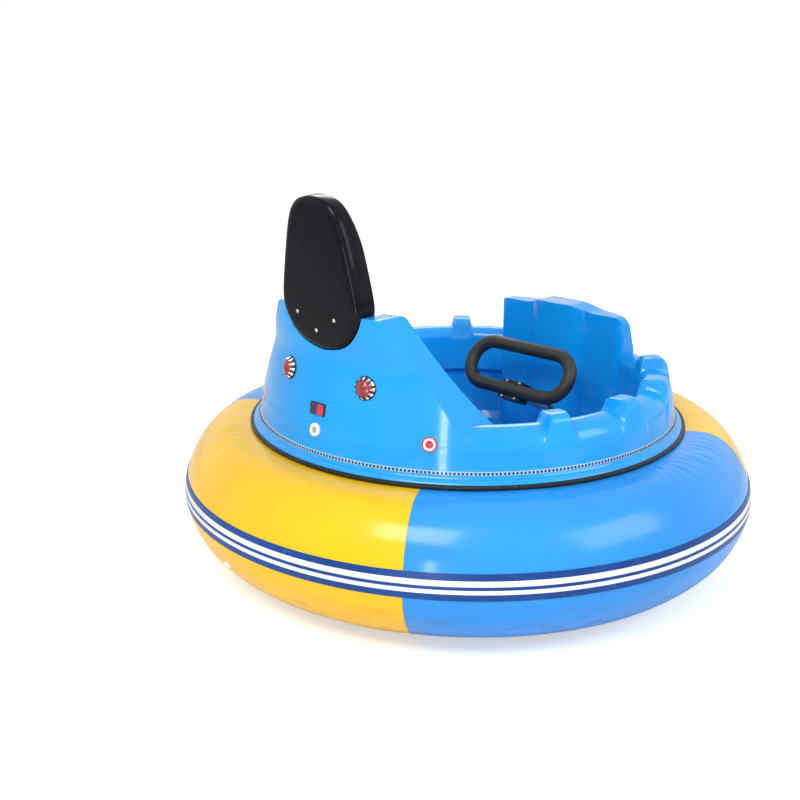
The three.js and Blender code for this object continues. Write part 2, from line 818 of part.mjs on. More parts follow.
// From behind: round upper corners, and the bulge a little higher than the panels.
function cowlFront() {
  const r = cowlCornerRadius;
  const half = [
    [cowlHalfWidth, tubFloorTop],
    ...rounding([cowlHalfWidth, cowlTop - r], [cowlHalfWidth - r, cowlTop], 5),
    [cowlBulgeHalfWidth, cowlTop],
    [cowlBulgeHalfWidth - cowlBulgeFlank, bulgeTop],
  ];
  const mirrored = half.map(([y, z]) => [-y, z]).reverse();
  return [...half, ...mirrored];
}

// Turned limit: inside the tub, through the flange's ring, then flush with the skirt and
// sloping back to the top edge.
const cowlShoulder = shoulderHeight + 2 * (coamingTop - shoulderHeight) / 3;
const cowlLimit = turned([
  [0, tubFloorTop + gap],
  [tubFloorRadius - gap, tubFloorTop + gap],
  [tubInside - tubBend - gap, tubFloorTop + tubBend + gap],
  [tubInside - gap, tubFloor + tubCorner],
  [tubInside - gap, tubTop - gap],
  [cockpitRadius - gap, tubTop - gap],
  [cockpitRadius - gap, podFoot],
  [skirtAt(podFoot), podFoot],
  [skirtAt(cowlShoulder), cowlShoulder],
  [crown[0] + cowlCornerRadius, ribTop],
  [cowlNose, cowlTop - cowlCornerRadius / 2],
  [cowlNose - cowlCornerRadius, bulgeTop],
  [0, bulgeTop],
]);
const columnBore = place(bar(bushRadius + gap, columnEnd - columnEndRoom, 0), steerFrame);
const cowl = alongZ(cowlPlan(), tubFloorTop, bulgeTop)
  .intersect(cowlLimit)
  .intersect(alongX(cowlFront(), cowlFace - gap, ringRadius))
  .subtract(columnBore)
  .subtract(stripChannel);
add('front_cowl', cowl, materials.hullBlue);

// ---- pedal --------------------------------------------------------------

const pedalFoot = tubFloorTop + gap;
const pedalShape = [
  [0, 0],
  [pedalLength, 0],
  [pedalLength, pedalHeight - pedalNose / 2],
  [pedalLength - pedalNose, pedalHeight],
  [0, pedalToe],
];
const pedalGeometry = new THREE.ExtrudeGeometry(outline(pedalShape), { depth: pedalWidth, bevelEnabled: false })
  .applyMatrix4(new THREE.Matrix4().makeRotationX(Math.PI / 2))
  .translate(cowlRear - pedalReach - pedalLength / 2, pedalSide + pedalWidth / 2, pedalFoot);
add('foot_pedal', solid(pedalGeometry), materials.blackRubber);

// ---- chassis ------------------------------------------------------------

const plateRadius = tubRadius - plateSetback;
const plateTop = plateBottom + plateThickness;
add('chassis_plate', bar(plateRadius, plateBottom, plateTop, roundSteps), materials.steel);

const railTop = plateBottom - gap;
const railBottom = plateBottom - railDepth;
const railHalfLength = plateRadius - railSetback;
const crossRear = crossSetback - railHalfLength;
for (const [side, sign] of sides) {
  const y = sign * railOffset;
  const half = railWidth / 2;
  add(`frame_rail_${side}`, block(
    -railHalfLength, railHalfLength, y - half, y + half, railBottom, railTop), materials.steel);
}

const crossHalf = railOffset - railWidth / 2 - gap;
for (const [name, x] of [['front', crossFront], ['rear', crossRear]]) {
  add(`frame_cross_${name}`, block(
    x - railWidth / 2, x + railWidth / 2, -crossHalf, crossHalf, railBottom, railTop), materials.steel);
}

const cradleHalf = batteryWidth / 2 + gap + cradleSheet;
const cradleOutline = [
  [-cradleHalf, cradleBottom],
  [cradleHalf, cradleBottom],
  [cradleHalf, railTop],
  [cradleHalf - cradleSheet, railTop],
  [cradleHalf - cradleSheet, cradleBottom + cradleSheet],
  [cradleSheet - cradleHalf, cradleBottom + cradleSheet],
  [cradleSheet - cradleHalf, railTop],
  [-cradleHalf, railTop],
];
const batteryBack = batteryCentre - batteryLength / 2;
const batteryFront = batteryCentre + batteryLength / 2;
const batteryFoot = cradleBottom + cradleSheet + gap;
add('battery_cradle', alongX(cradleOutline, batteryBack, batteryFront), materials.steel);
add('battery_block', block(
  batteryBack, batteryFront, -batteryWidth / 2, batteryWidth / 2,
  batteryFoot, batteryFoot + batteryHeight), materials.battery);

// ---- running gear -------------------------------------------------------

const tyreProfile = () => {
  const half = tyreWidth / 2;
  const round = 9;
  return [
    [rimRadius, -half],
    [wheelRadius - round, -half],
    [wheelRadius - round * 0.3, -half + round * 0.3],
    [wheelRadius, -half + round],
    [wheelRadius, half - round],
    [wheelRadius - round * 0.3, half - round * 0.3],
    [wheelRadius - round, half],
    [rimRadius, half],
  ];
};

const hubProfile = (bore) => {
  const half = hubWidth / 2;
  const seat = rimRadius - gap;
  return [
    [bore, -half], [bore + 16, -half], [bore + 16, 8 - half], [seat, 8 - half], [seat, half - 8],
    [bore + 16, half - 8], [bore + 16, half], [bore, half],
  ];
};

const tyre = turned(tyreProfile(), 40);

// Wheels turn on Y, with the axle at wheelRadius above the ground.
function addWheel(name, x, y, axleRadius) {
  const spot = acrossY(x, wheelRadius).multiply(new THREE.Matrix4().makeTranslation(0, 0, y));
  add(`${name}_tyre`, place(tyre, spot), materials.tyre);
  add(`${name}_hub`, place(turned(hubProfile(axleRadius + axleClearance), 24), spot), materials.zinc);
}

addWheel('rear_left', rearAxlePlace, rearTrack / 2, rearAxleRadius);
addWheel('rear_right', rearAxlePlace, -rearTrack / 2, rearAxleRadius);
addWheel('front', steerAxlePlace, 0, frontAxleRadius);

const rearAxleHalf = rearTrack / 2 + hubWidth / 2 + axleEnd;
add('rear_axle', place(bar(rearAxleRadius, -rearAxleHalf, rearAxleHalf), acrossY(rearAxlePlace, wheelRadius)),
  materials.zinc);

for (const [side, sign] of sides) {
  const y = sign * hangerOffset;
  const half = hangerThickness / 2;
  const plate = block(
    rearAxlePlace - hangerLength / 2, rearAxlePlace + hangerLength / 2, y - half, y + half,
    wheelRadius - 2 * rearAxleRadius, railTop);
  const hole = place(bar(rearAxleRadius + gap, -rearAxleHalf, rearAxleHalf), acrossY(rearAxlePlace, wheelRadius));
  add(`axle_hanger_${side}`, plate.subtract(hole), materials.steel);
}

// Steered fork: two legs, a crown and a stem that turns in the housing under the plate.
const legInside = hubWidth / 2 + legClearance;
const crownBottom = 2 * wheelRadius + crownClearance;
const crownTop = crownBottom + crownThickness;
const legOutside = legInside + legThickness;
let fork = block(-legWidth / 2, legWidth / 2, -legOutside, legOutside, crownBottom, crownTop);
for (const sign of [1, -1]) {
  const y = sign * (legInside + legThickness / 2);
  const half = legThickness / 2;
  fork = fork.add(block(
    -legWidth / 2, legWidth / 2, y - half, y + half, wheelRadius - 2 * frontAxleRadius, crownBottom + 1));
}
fork = fork.add(bar(stemRadius, crownTop - 1, railTop - 3));
fork = fork.subtract(place(bar(frontAxleRadius + gap, -legOutside - 5, legOutside + 5), acrossY(0, wheelRadius)));
add('steered_fork', fork.translate([steerAxlePlace, 0, 0]), materials.steel);

const frontAxleHalf = legOutside + axleEnd;
add('front_axle', place(bar(frontAxleRadius, -frontAxleHalf, frontAxleHalf), acrossY(steerAxlePlace, wheelRadius)),
  materials.zinc);

const housing = bar(housingRadius, crownTop + gap, railTop, 32)
  .subtract(bar(stemRadius + gap, crownTop - 1, railTop + 1));
add('swivel_housing', housing.translate([steerAxlePlace, 0, 0]), materials.steel);

export default car;
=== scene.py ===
import bpy
from math import atan, atan2, copysign, cos, degrees, exp, hypot, pi, radians, sin, tan
from mathutils import Matrix, Vector, noise


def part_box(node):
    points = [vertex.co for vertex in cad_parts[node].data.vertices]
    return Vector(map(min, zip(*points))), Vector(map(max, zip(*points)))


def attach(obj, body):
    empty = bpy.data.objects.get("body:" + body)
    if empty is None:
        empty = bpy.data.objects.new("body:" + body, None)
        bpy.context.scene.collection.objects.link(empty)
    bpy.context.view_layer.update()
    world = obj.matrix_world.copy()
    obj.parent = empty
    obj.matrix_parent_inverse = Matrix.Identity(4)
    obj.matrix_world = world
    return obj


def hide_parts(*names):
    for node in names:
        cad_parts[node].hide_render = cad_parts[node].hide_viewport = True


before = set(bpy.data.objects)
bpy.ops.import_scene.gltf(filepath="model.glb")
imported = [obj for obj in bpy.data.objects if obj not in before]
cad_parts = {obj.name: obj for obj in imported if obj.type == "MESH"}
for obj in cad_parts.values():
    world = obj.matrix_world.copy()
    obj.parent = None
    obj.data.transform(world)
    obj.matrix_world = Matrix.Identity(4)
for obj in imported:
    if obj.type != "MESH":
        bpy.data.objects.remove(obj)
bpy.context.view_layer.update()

# camera
view = {"place": (-2.951, -2.565, 1.6957), "look": (0.685, 0.668, -0.2905), "lens": 54.2}

cameraData = bpy.data.cameras.new("camera")
cameraData.lens = view["lens"]
cameraData.clip_end = 100
camera = bpy.data.objects.new("camera", cameraData)
camera.location = view["place"]
camera.rotation_euler = Vector(view["look"]).to_track_quat("-Z", "Y").to_euler()
bpy.context.scene.collection.objects.link(camera)
bpy.context.scene.camera = camera
print("camera set")


# ways of making a piece

def onlyPick(*pieces):
    bpy.ops.object.select_all(action="DESELECT")
    for piece in pieces:
        piece.select_set(True)
    bpy.context.view_layer.objects.active = pieces[-1]


def named(name):
    piece = bpy.context.object
    piece.name = name
    piece.data.name = name
    return piece


def started(name, add, **settings):
    bpy.ops.object.select_all(action="DESELECT")
    add(**settings)
    return named(name)


def edited(piece, *steps, pick="SELECT"):
    # each step is a mesh operator and its settings
    onlyPick(piece)
    bpy.ops.object.mode_set(mode="EDIT")
    bpy.ops.mesh.select_all(action=pick)
    for step, settings in steps:
        step(**settings)
    bpy.ops.object.mode_set(mode="OBJECT")
    return piece


def tidied(piece, angle=30, merge=1e-5):
    # doubles merged, faces outwards, soft shading except at real edges
    edited(piece, (bpy.ops.mesh.remove_doubles, {"threshold": merge}),
           (bpy.ops.mesh.normals_make_consistent, {"inside": False}))
    bpy.ops.object.shade_smooth_by_angle(angle=radians(angle))
    return piece


def shaped(name, columns, rows, place, angle=30, merge=1e-5):
    # a grid whose points are then moved one by one to place(column, row)
    piece = started(name, bpy.ops.mesh.primitive_grid_add, x_subdivisions=columns, y_subdivisions=rows, size=2)
    across = len({round(point.co.x, 5) for point in piece.data.vertices}) - 1
    along = len({round(point.co.y, 5) for point in piece.data.vertices}) - 1
    spots = []
    for point in piece.data.vertices:
        column = round((point.co.x + 1) / 2 * across)
        row = round((point.co.y + 1) / 2 * along)
        spots.extend(place(column * columns / across, row * rows / along))
    piece.data.vertices.foreach_set("co", spots)
    piece.data.update()
    return tidied(piece, angle, merge)


def spun(name, profile, steps, spot=Matrix(), angle=30):
    # a closed profile of (radius, height) turned round Z, then set in its place
    piece = started(name, bpy.ops.mesh.primitive_circle_add, vertices=len(profile), radius=1)
    for point, (radius, height) in zip(piece.data.vertices, profile):
        point.co = (radius, 0, height)
    whole = {"steps": steps, "angle": 2 * pi, "center": (0, 0, 0), "axis": (0, 0, 1)}
    tidied(edited(piece, (bpy.ops.mesh.spin, whole)), angle)
    piece.data.transform(spot)
    return piece


def drawnOut(name, loop, reach, angle=30):
    # a closed outline of points pulled out along a vector
    piece = started(name, bpy.ops.mesh.primitive_circle_add, vertices=len(loop), radius=1, fill_type="NGON")
    for point, spot in zip(piece.data.vertices, loop):
        point.co = spot
    pull = {"TRANSFORM_OT_translate": {"value": reach}}
    return tidied(edited(piece, (bpy.ops.mesh.extrude_region_move, pull)), angle)


def rectangle(left, right, low, high):
    return (left, low), (right, low), (right, high), (left, high)


def block(name, low, high):
    loop = [(x, y, low[2]) for x, y in rectangle(low[0], high[0], low[1], high[1])]
    return drawnOut(name, loop, (0, 0, high[2] - low[2]))


def changed(piece, kind, **settings):
    # a modifier, applied
    onlyPick(piece)
    change = piece.modifiers.new(kind.lower(), kind)
    for setting, value in settings.items():
        setattr(change, setting, value)
    bpy.ops.object.modifier_apply(modifier=change.name)
    return piece


def combined(piece, other, operation="DIFFERENCE"):
    changed(piece, "BOOLEAN", operation=operation, solver="EXACT", object=other)
    bpy.data.objects.remove(other)
    return piece


def rounded(piece, width, segments=3, limit=30):
    changed(piece, "BEVEL", width=width, segments=segments, limit_method="ANGLE", angle_limit=radians(limit),
            harden_normals=False, use_clamp_overlap=True)
    bpy.ops.object.shade_smooth_by_angle(angle=radians(35))
    return piece


def bar(name, size, edge, segments=2):
    # a small cube stretched to size, its edges rounded
    piece = started(name, bpy.ops.mesh.primitive_cube_add, size=1)
    piece.data.transform(Matrix.Diagonal((*size, 1)))
    return rounded(piece, edge, segments)


def joined(name, *pieces):
    onlyPick(*pieces)
    bpy.ops.object.join()
    return named(name)


def dressed(piece, *names, body="chassis"):
    piece.data.materials.clear()
    for name in names:
        piece.data.materials.append(finishes[name])
    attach(piece, body)
    return piece


def blendStep(low, high, value):
    share = min(1, max(0, (value - low) / (high - low)))
    return share * share * (3 - 2 * share)


def quarter(steps, first=0):
    # cosines and sines over a quarter turn
    return [(cos(pi / 2 * k / steps), sin(pi / 2 * k / steps)) for k in range(first, steps + 1)]


def polar(a, r, z=0.0):
    return r * cos(a), r * sin(a), z


def facing(a, slope, r, height, proud=0.0):
    # a place whose Z looks outwards at an angle, leaning by the slope
    out = Vector((cos(a), sin(a), slope)).normalized()
    side = Vector((-sin(a), cos(a), 0))
    spot = Matrix((side, out.cross(side), out)).transposed().to_4x4()
    spot.translation = Vector(polar(a, r, height)) + out * proud
    return spot


def evenLoop(points, count):
    # a closed line of (a, b) points walked at even steps
    lengths = [0]
    for a, b in zip(points, points[1:] + points[:1]):
        lengths.append(lengths[-1] + hypot(b[0] - a[0], b[1] - a[1]))
    even = []
    spot = 0
    for i in range(count):
        want = lengths[-1] * i / count
        while lengths[spot + 1] < want:
            spot += 1
        part = (want - lengths[spot]) / max(1e-9, lengths[spot + 1] - lengths[spot])
        a, b = points[spot], points[(spot + 1) % len(points)]
        even.append((a[0] + (b[0] - a[0]) * part, a[1] + (b[1] - a[1]) * part))
    return even


def loopNormal(loop, k):
    # outward, for a loop that runs anticlockwise
    a, b = loop[k - 1], loop[(k + 1) % len(loop)]
    along = Vector((b[0] - a[0], b[1] - a[1])).normalized()
    return along.y, -along.x


# finishes

class Wire:
    def __init__(self, finish, socket):
        self.finish = finish
        self.socket = socket

    def maths(self, operation, other, turned=False):
        pair = (other, self) if turned else (self, other)
        return self.finish.add("ShaderNodeMath", {"operation": operation}, {0: pair[0], 1: pair[1]})

    def __add__(self, other):
        return self.maths("ADD", other)

    def __radd__(self, other):
        return self.maths("ADD", other, True)

    def __sub__(self, other):
        return self.maths("SUBTRACT", other)

    def __rsub__(self, other):
        return self.maths("SUBTRACT", other, True)

    def __mul__(self, other):
        return self.maths("MULTIPLY", other)


class Finish:
    def __init__(self, name, colour, roughness, metallic=0, coat=0, coatRoughness=0.05, shine=0.5):
        self.material = bpy.data.materials.new(name)
        self.material.use_nodes = True
        self.tree = self.material.node_tree
        self.shader = self.tree.nodes["Principled BSDF"]
        start = {
            "Base Color": (*colour, 1), "Roughness": roughness, "Metallic": metallic, "Coat Weight": coat,
            "Coat Roughness": coatRoughness, "Specular IOR Level": shine}
        for socket, value in start.items():
            self.shader.inputs[socket].default_value = value
        self.place = self.add("ShaderNodeTexCoord", {}, {}, "Object")

    def add(self, kind, settings, sockets, out=0):
        node = self.tree.nodes.new(kind)
        for setting, value in settings.items():
            if setting == "stops":
                ramp = node.color_ramp
                while len(ramp.elements) < len(value):
                    ramp.elements.new(0.5)
                for element, (spot, colour) in zip(ramp.elements, value):
                    element.position = spot
                    element.color = (*colour, 1)
            else:
                setattr(node, setting, value)
        for key, value in sockets.items():
            if isinstance(value, Wire):
                self.tree.links.new(value.socket, node.inputs[key])
            else:
                node.inputs[key].default_value = value
        return Wire(self, node.outputs[out])

    def feed(self, socket, wire):
        self.tree.links.new(wire.socket, self.shader.inputs[socket])

    def made(self, colour, roughness, normal):
        self.feed("Base Color", colour)
        self.feed("Roughness", roughness)
        self.feed("Normal", normal)
        return self.material

    def stretched(self, scale, turn=(0, 0, 0)):
        return self.add("ShaderNodeMapping", {}, {"Vector": self.place, "Scale": scale, "Rotation": turn})

    def cloud(self, scale, detail, place=None):
        return self.add("ShaderNodeTexNoise", {}, {
            "Vector": place or self.place, "Scale": scale, "Detail": detail, "Roughness": 0.5})

    def patches(self, scale, detail, low, high, bottom=0.0, top=1.0):
        return self.between(self.cloud(scale, detail), low, high, bottom, top)

    def between(self, wire, low, high, bottom=0.0, top=1.0):
        return self.add("ShaderNodeMapRange", {"interpolation_type": "SMOOTHSTEP"}, {
            "Value": wire, "From Min": low, "From Max": high, "To Min": bottom, "To Max": top})

    def tinted(self, share, first, second):
        colours = [c if isinstance(c, Wire) else (*c, 1) for c in (first, second)]
        return self.add("ShaderNodeMix", {"data_type": "RGBA"}, {0: share, 6: colours[0], 7: colours[1]}, 2)

    def bumped(self, height, strength, distance, under=None):
        sockets = {"Height": height, "Strength": strength, "Distance": distance}
        if under:
            sockets["Normal"] = under
        return self.add("ShaderNodeBump", {}, sockets)

    def grain(self, scale, detail, strength, distance):
        return self.bumped(self.cloud(scale, detail), strength, distance)

    def shaded(self, wire, colour, dark, bright, low=0.3, high=0.7):
        return self.tinted(self.between(wire, low, high), scaled(colour, dark), scaled(colour, bright))

    def axis(self, name):
        return self.add("ShaderNodeSeparateXYZ", {}, {0: self.place}, name)


def scaled(colour, factor):
    return tuple(min(1, c * factor) for c in colour)


def gelcoat(name, colour, wear=1.0):
    # moulded and polished, with a faint orange peel, a few wiped scratches and dust low down
    finish = Finish(name, colour, 0.16, coat=0.25, coatRoughness=0.04, shine=0.3)
    wide = finish.cloud(2.2, 3)
    streak = finish.cloud(9, 6, finish.stretched((1, 1, 3), (0.3, 0.5, 0)))
    scuff = finish.between(streak, 0.62, 0.80)
    dust = finish.between(finish.axis("Z"), 0.60, 0.46) * finish.patches(22, 5, 0.42, 0.70)
    base = finish.shaded(wide, colour, 0.93, 1.05, 0.35, 0.65)
    worn = finish.tinted(scuff * (0.03 * wear), base, (0.75, 0.80, 0.85))
    peel = finish.grain(260, 2, 0.05, 0.0006)
    return finish.made(
        finish.tinted(dust * (0.05 * wear), worn, (0.40, 0.38, 0.35)),
        finish.between(wide, 0.3, 0.7, 0.13, 0.2) + scuff * (0.06 * wear) + dust * 0.2,
        finish.bumped(wide, 0.15, 0.002, peel))


def tubeVinyl(name, colour):
    # coated fabric: a fine pebble, faint cloth weave telegraphing through, scuffs below the band
    finish = Finish(name, colour, 0.26, coat=0.2, coatRoughness=0.10, shine=0.3)
    wide = finish.cloud(1.6, 4)
    low = finish.between(finish.axis("Z"), 0.24, 0.06)
    scuff = finish.between(finish.cloud(9, 6, finish.stretched((1, 1, 4))), 0.52, 0.70)
    rub = finish.patches(34, 5, 0.62, 0.80)
    base = finish.shaded(wide, colour, 0.90, 1.06)
    grimy = finish.tinted(low * scuff * 0.35, base, (0.10, 0.085, 0.07))
    pebble = finish.grain(520, 2, 0.10, 0.0005)
    return finish.made(
        finish.tinted(rub * 0.02, grimy, (0.8, 0.8, 0.8)),
        finish.between(wide, 0.3, 0.7, 0.20, 0.28) + low * scuff * 0.3 + rub * 0.04,
        finish.bumped(finish.cloud(26, 3), 0.10, 0.0016, pebble))


def plainMoulding(name, colour, roughness, grain=420, depth=0.12, coat=0.0, tone=0.12):
    finish = Finish(name, colour, roughness, coat=coat, shine=0.3)
    wide = finish.cloud(6, 4)
    rub = finish.patches(55, 5, 0.58, 0.74)
    base = finish.shaded(wide, colour, 1 - tone, 1 + tone)
    return finish.made(
        finish.tinted(rub * 0.08, base, (0.45, 0.45, 0.45)),
        finish.between(wide, 0.3, 0.7, roughness - 0.04, roughness + 0.07) + rub * 0.1,
        finish.grain(grain, 2, depth, 0.0005))


def seatBlack():
    # high-gloss black moulding: hairline swirls and a little dust
    finish = Finish("shellBlackGloss", (0.004, 0.004, 0.007), 0.14, coatRoughness=0.03, shine=0.14)
    swirl = finish.cloud(40, 6, finish.stretched((1, 3, 0.4), (0.4, 0, 0.2)))
    hair = finish.between(swirl, 0.56, 0.70)
    dust = finish.patches(300, 3, 0.62, 0.75)
    base = finish.tinted(hair * 0.008, (0.004, 0.004, 0.007), (0.5, 0.5, 0.55))
    return finish.made(
        finish.tinted(dust * 0.012, base, (0.5, 0.5, 0.5)),
        finish.patches(5, 3, 0.3, 0.7, 0.09, 0.17) + hair * 0.1,
        finish.grain(220, 2, 0.04, 0.0005))


def upholstery():
    # black leathercloth: pebbled grain from cell edges, worn shine on the high parts; the cell edges are also tinted
    # darker, painted shade in the grain's creases
    finish = Finish("seatLeathercloth", (0.017, 0.017, 0.019), 0.5)
    cells = finish.add("ShaderNodeTexVoronoi", {"feature": "DISTANCE_TO_EDGE"}, {
        "Vector": finish.place, "Scale": 420.0})
    crease = finish.between(cells, 0.0, 0.14)
    wide = finish.cloud(7, 4)
    base = finish.tinted(finish.between(wide, 0.3, 0.7), (0.013, 0.013, 0.014), (0.026, 0.026, 0.028))
    return finish.made(
        # painted shade: colour darkened along the creases between the pebbles
        finish.tinted((1 - crease) * 0.5, base, (0.006, 0.006, 0.006)),
        finish.between(wide, 0.3, 0.7, 0.40, 0.58),
        finish.bumped(crease, 0.35, 0.0006))


def metalPaint(name, colour):
    # brushed-on chassis paint, chipped, with road dirt gathered low down
    finish = Finish(name, colour, 0.5)
    chip = finish.patches(60, 6, 0.63, 0.68)
    dirt = finish.patches(8, 6, 0.45, 0.70) * finish.between(finish.axis("Z"), 0.26, 0.08)
    base = finish.shaded(finish.cloud(4, 4), colour, 0.8, 1.25)
    chipped = finish.tinted(chip, base, (0.16, 0.10, 0.06))
    return finish.made(
        finish.tinted(dirt * 0.6, chipped, (0.11, 0.095, 0.08)),
        0.42 + dirt * 0.3 + chip * 0.2,
        finish.bumped(finish.cloud(180, 4) - chip * 0.5, 0.2, 0.0006))


def brightMetal(name, colour, roughness):
    finish = Finish(name, colour, roughness, metallic=1)
    wide = finish.cloud(18, 5)
    tarnish = finish.patches(90, 5, 0.58, 0.75)
    base = finish.shaded(wide, colour, 0.88, 1.05)
    return finish.made(
        finish.tinted(tarnish * 0.25, base, scaled(colour, 0.5)),
        finish.between(wide, 0.3, 0.7, roughness * 0.8, roughness * 1.3) + tarnish * 0.12,
        finish.grain(300, 3, 0.05, 0.0004))


def lensRed(name, colour, glow=0.0):
    # moulded lens with small prisms behind the face; each prism is tinted bright in its middle and dark at its edge,
    # a painted glint
    finish = Finish(name, colour, 0.08, coat=0.7)
    prisms = finish.add("ShaderNodeTexVoronoi", {"feature": "F1"}, {"Vector": finish.place, "Scale": 210.0})
    cell = finish.between(prisms, 0.0, 0.7)
    finish.shader.inputs["Emission Color"].default_value = (*colour, 1)
    finish.shader.inputs["Emission Strength"].default_value = glow
    return finish.made(
        # painted glints: prism middles brighter than the lens colour, their edges darker
        finish.tinted(cell, scaled(colour, 1.3), scaled(colour, 0.45)),
        finish.patches(60, 3, 0.3, 0.7, 0.06, 0.14),
        finish.bumped(cell, 0.35, 0.0012))


def treadRubber():
    finish = Finish("tyreRubber", (0.022, 0.022, 0.021), 0.72)
    dust = finish.patches(30, 6, 0.45, 0.70)
    return finish.made(
        finish.tinted(dust * 0.45, (0.020, 0.020, 0.020), (0.10, 0.09, 0.08)),
        0.62 + dust * 0.25,
        finish.grain(320, 4, 0.3, 0.0007))


def gripRubber():
    # foam sleeve: fine open texture, palms have polished it along the bars
    finish = Finish("gripSleeve", (0.014, 0.014, 0.014), 0.6)
    pores = finish.cloud(650, 4)
    wide = finish.cloud(9, 4)
    base = finish.tinted(finish.between(wide, 0.35, 0.65), (0.010, 0.010, 0.010), (0.024, 0.024, 0.022))
    return finish.made(base, finish.between(wide, 0.3, 0.7, 0.42, 0.66), finish.bumped(pores, 0.3, 0.0006))


def floorGrip(name, colour):
    # the tub's standing area: hull colour, moulded with small raised studs and dulled by shoes; the stud tops are
    # tinted paler, a painted highlight
    finish = Finish(name, colour, 0.35)
    studs = finish.add("ShaderNodeTexVoronoi", {"feature": "F1"}, {
        "Vector": finish.place, "Scale": 62.0, "Randomness": 0.0})
    stud = finish.between(studs, 0.42, 0.28)
    dirt = finish.patches(7, 6, 0.42, 0.72)
    base = finish.tinted(dirt * 0.30, colour, (0.10, 0.14, 0.20))
    return finish.made(
        # painted highlight: the raised stud tops tinted paler
        finish.tinted(stud * 0.12, base, (0.5, 0.7, 0.85)),
        0.32 + dirt * 0.3,
        finish.bumped(stud, 0.6, 0.0015))


hullColour = (0.006, 0.335, 0.86)
finishes = {
    "hull": gelcoat("hullGelcoat", hullColour),
    # the tub wall, its plinth and its floor take the hull colour darkened (0.92, 0.85): painted shade inside the
    # cockpit
    "tub": gelcoat("tubGelcoatPaintedShade", scaled(hullColour, 0.92), 1.6),
    "tubFloor": floorGrip("tubFloorStudsPaintedShade", scaled(hullColour, 0.85)),
    "yellow": tubeVinyl("ringYellowVinyl", (0.96, 0.55, 0.006)),
    "blue": tubeVinyl("ringBlueVinyl", (0.020, 0.29, 0.80)),
    "band": plainMoulding("bandBlueVinyl", (0.002, 0.050, 0.24), 0.32),
    "stripe": plainMoulding("bandWhiteLine", (0.80, 0.82, 0.84), 0.35, tone=0.05),
    "shell": seatBlack(),
    "vinyl": upholstery(),
    "trim": plainMoulding("edgeTrimRubber", (0.012, 0.012, 0.016), 0.42),
    "grip": gripRubber(),
    "black": plainMoulding("satinBlackMoulding", (0.014, 0.014, 0.016), 0.38),
    "chrome": brightMetal("brightPlate", (0.82, 0.83, 0.85), 0.10),
    "zinc": brightMetal("zincPlate", (0.56, 0.57, 0.58), 0.34),
    "red": lensRed("redLens", (0.40, 0.006, 0.022), 0.03),
    "darkLens": lensRed("darkLens", (0.030, 0.012, 0.075)),
    "mark": lensRed("markerRed", (0.66, 0.012, 0.035), 0.05),
    "tail": lensRed("tailLens", (0.80, 0.02, 0.06), 0.12),
    "white": plainMoulding("whiteMoulding", (0.82, 0.82, 0.84), 0.3, coat=0.3, tone=0.04),
    "lampPale": plainMoulding("lampStripPale", (0.30, 0.52, 0.74), 0.25, coat=0.4, tone=0.06),
    "lampDark": plainMoulding("lampStripDark", (0.010, 0.018, 0.035), 0.3),
    "steel": metalPaint("chassisPaint", (0.050, 0.055, 0.060)),
    "tyre": treadRubber(),
    "battery": plainMoulding("batteryCase", (0.035, 0.04, 0.045), 0.5, grain=260, depth=0.3),
}
print("finishes made")

# the air ring

ring = {
    "middle": 0.789, "halfWidth": 0.161, "rise": 0.221, "drop": 0.196, "height": 0.241,
    "outerPower": 1.8, "shoulderPower": 4.5, "lowerPower": 1.7,
    "seams": (-60, 31, 121, 211), "across": 128, "around": 250, "gap": 0.0004,
    "puckerDepth": 0.0058, "seamPucker": 0.0016, "slack": 0.0016,
    "gathers": (
        (155, 16, 1.0), (186, 12, 0.5), (246, 15, 0.7), (279, 14, 0.9), (331, 12, 0.6), (62, 16, 0.9),
        (100, 12, 0.6)),
}


def ringSection(count):
    # evenly spaced points round the section, with the sharp turns of the powers eased
    raw = []
    dense = 1440
    for i in range(dense):
        a = 2 * pi * i / dense
        across, up = cos(a), sin(a)
        power = ring["lowerPower"] if up < 0 else ring["outerPower"] if across > 0 else ring["shoulderPower"]
        tall = ring["rise"] if up >= 0 else ring["drop"]
        raw.append((
            copysign(abs(across) ** (2 / power), across) * ring["halfWidth"],
            copysign(abs(up) ** (2 / power), up) * tall))
    even = evenLoop(raw, count)
    for i in range(10):
        even = [(
            even[k][0] * 0.5 + (even[k - 1][0] + even[(k + 1) % count][0]) * 0.25,
            even[k][1] * 0.5 + (even[k - 1][1] + even[(k + 1) % count][1]) * 0.25) for k in range(count)]
    return even


ringLoop = ringSection(ring["across"])


def ringSwell(angle, across, up):
    # how far the skin stands off its smooth shape here
    seams = [radians(s) for s in ring["seams"]]
    nearest = min(abs((angle - s + pi) % (2 * pi) - pi) for s in seams)
    onPlane = Vector((cos(angle), sin(angle)))
    swell = ring["slack"] * noise.noise(Vector((onPlane.x * 3.1, onPlane.y * 3.1, across * 8 + up * 5)))
    if up > 0.05:
        # puckers start a little outside the trim and run outwards in groups
        reach = blendStep(-0.055, -0.020, across) * (1 - blendStep(0.020, 0.105, across))
        group = 0.25 * blendStep(-0.08, 0.42, noise.noise(Vector((onPlane.x * 4.3, onPlane.y * 4.3, 4.0))))
        for spot, width, depth in ring["gathers"]:
            away = (degrees(angle) - spot + 180) % 360 - 180
            group += depth * exp(-(away / width) ** 2)
        lean = 0.9 * noise.noise(Vector((onPlane.x * 2, onPlane.y * 2, 9.0)))
        wave = noise.noise(Vector((angle * 22 + across * 22 * lean, across * 4, 2.0)))
        swell -= ring["puckerDepth"] * reach * min(1, group) * max(0, 0.55 - abs(wave) * 2.4)
    pull = exp(-(nearest * 0.85 / 0.035) ** 2)
    ripple = noise.noise(Vector((across * 30, up * 30, round(angle, 1))))
    swell -= ring["seamPucker"] * pull * (0.4 + max(0, ripple))
    return swell


def ringPoint(angle, k, lift=0.0):
    across, up = ringLoop[k % len(ringLoop)]
    out = loopNormal(ringLoop, k % len(ringLoop))
    far = ringSwell(angle, across, up) + lift
    r = ring["middle"] + across + out[0] * far
    return polar(angle, r, ring["height"] + up + out[1] * far)


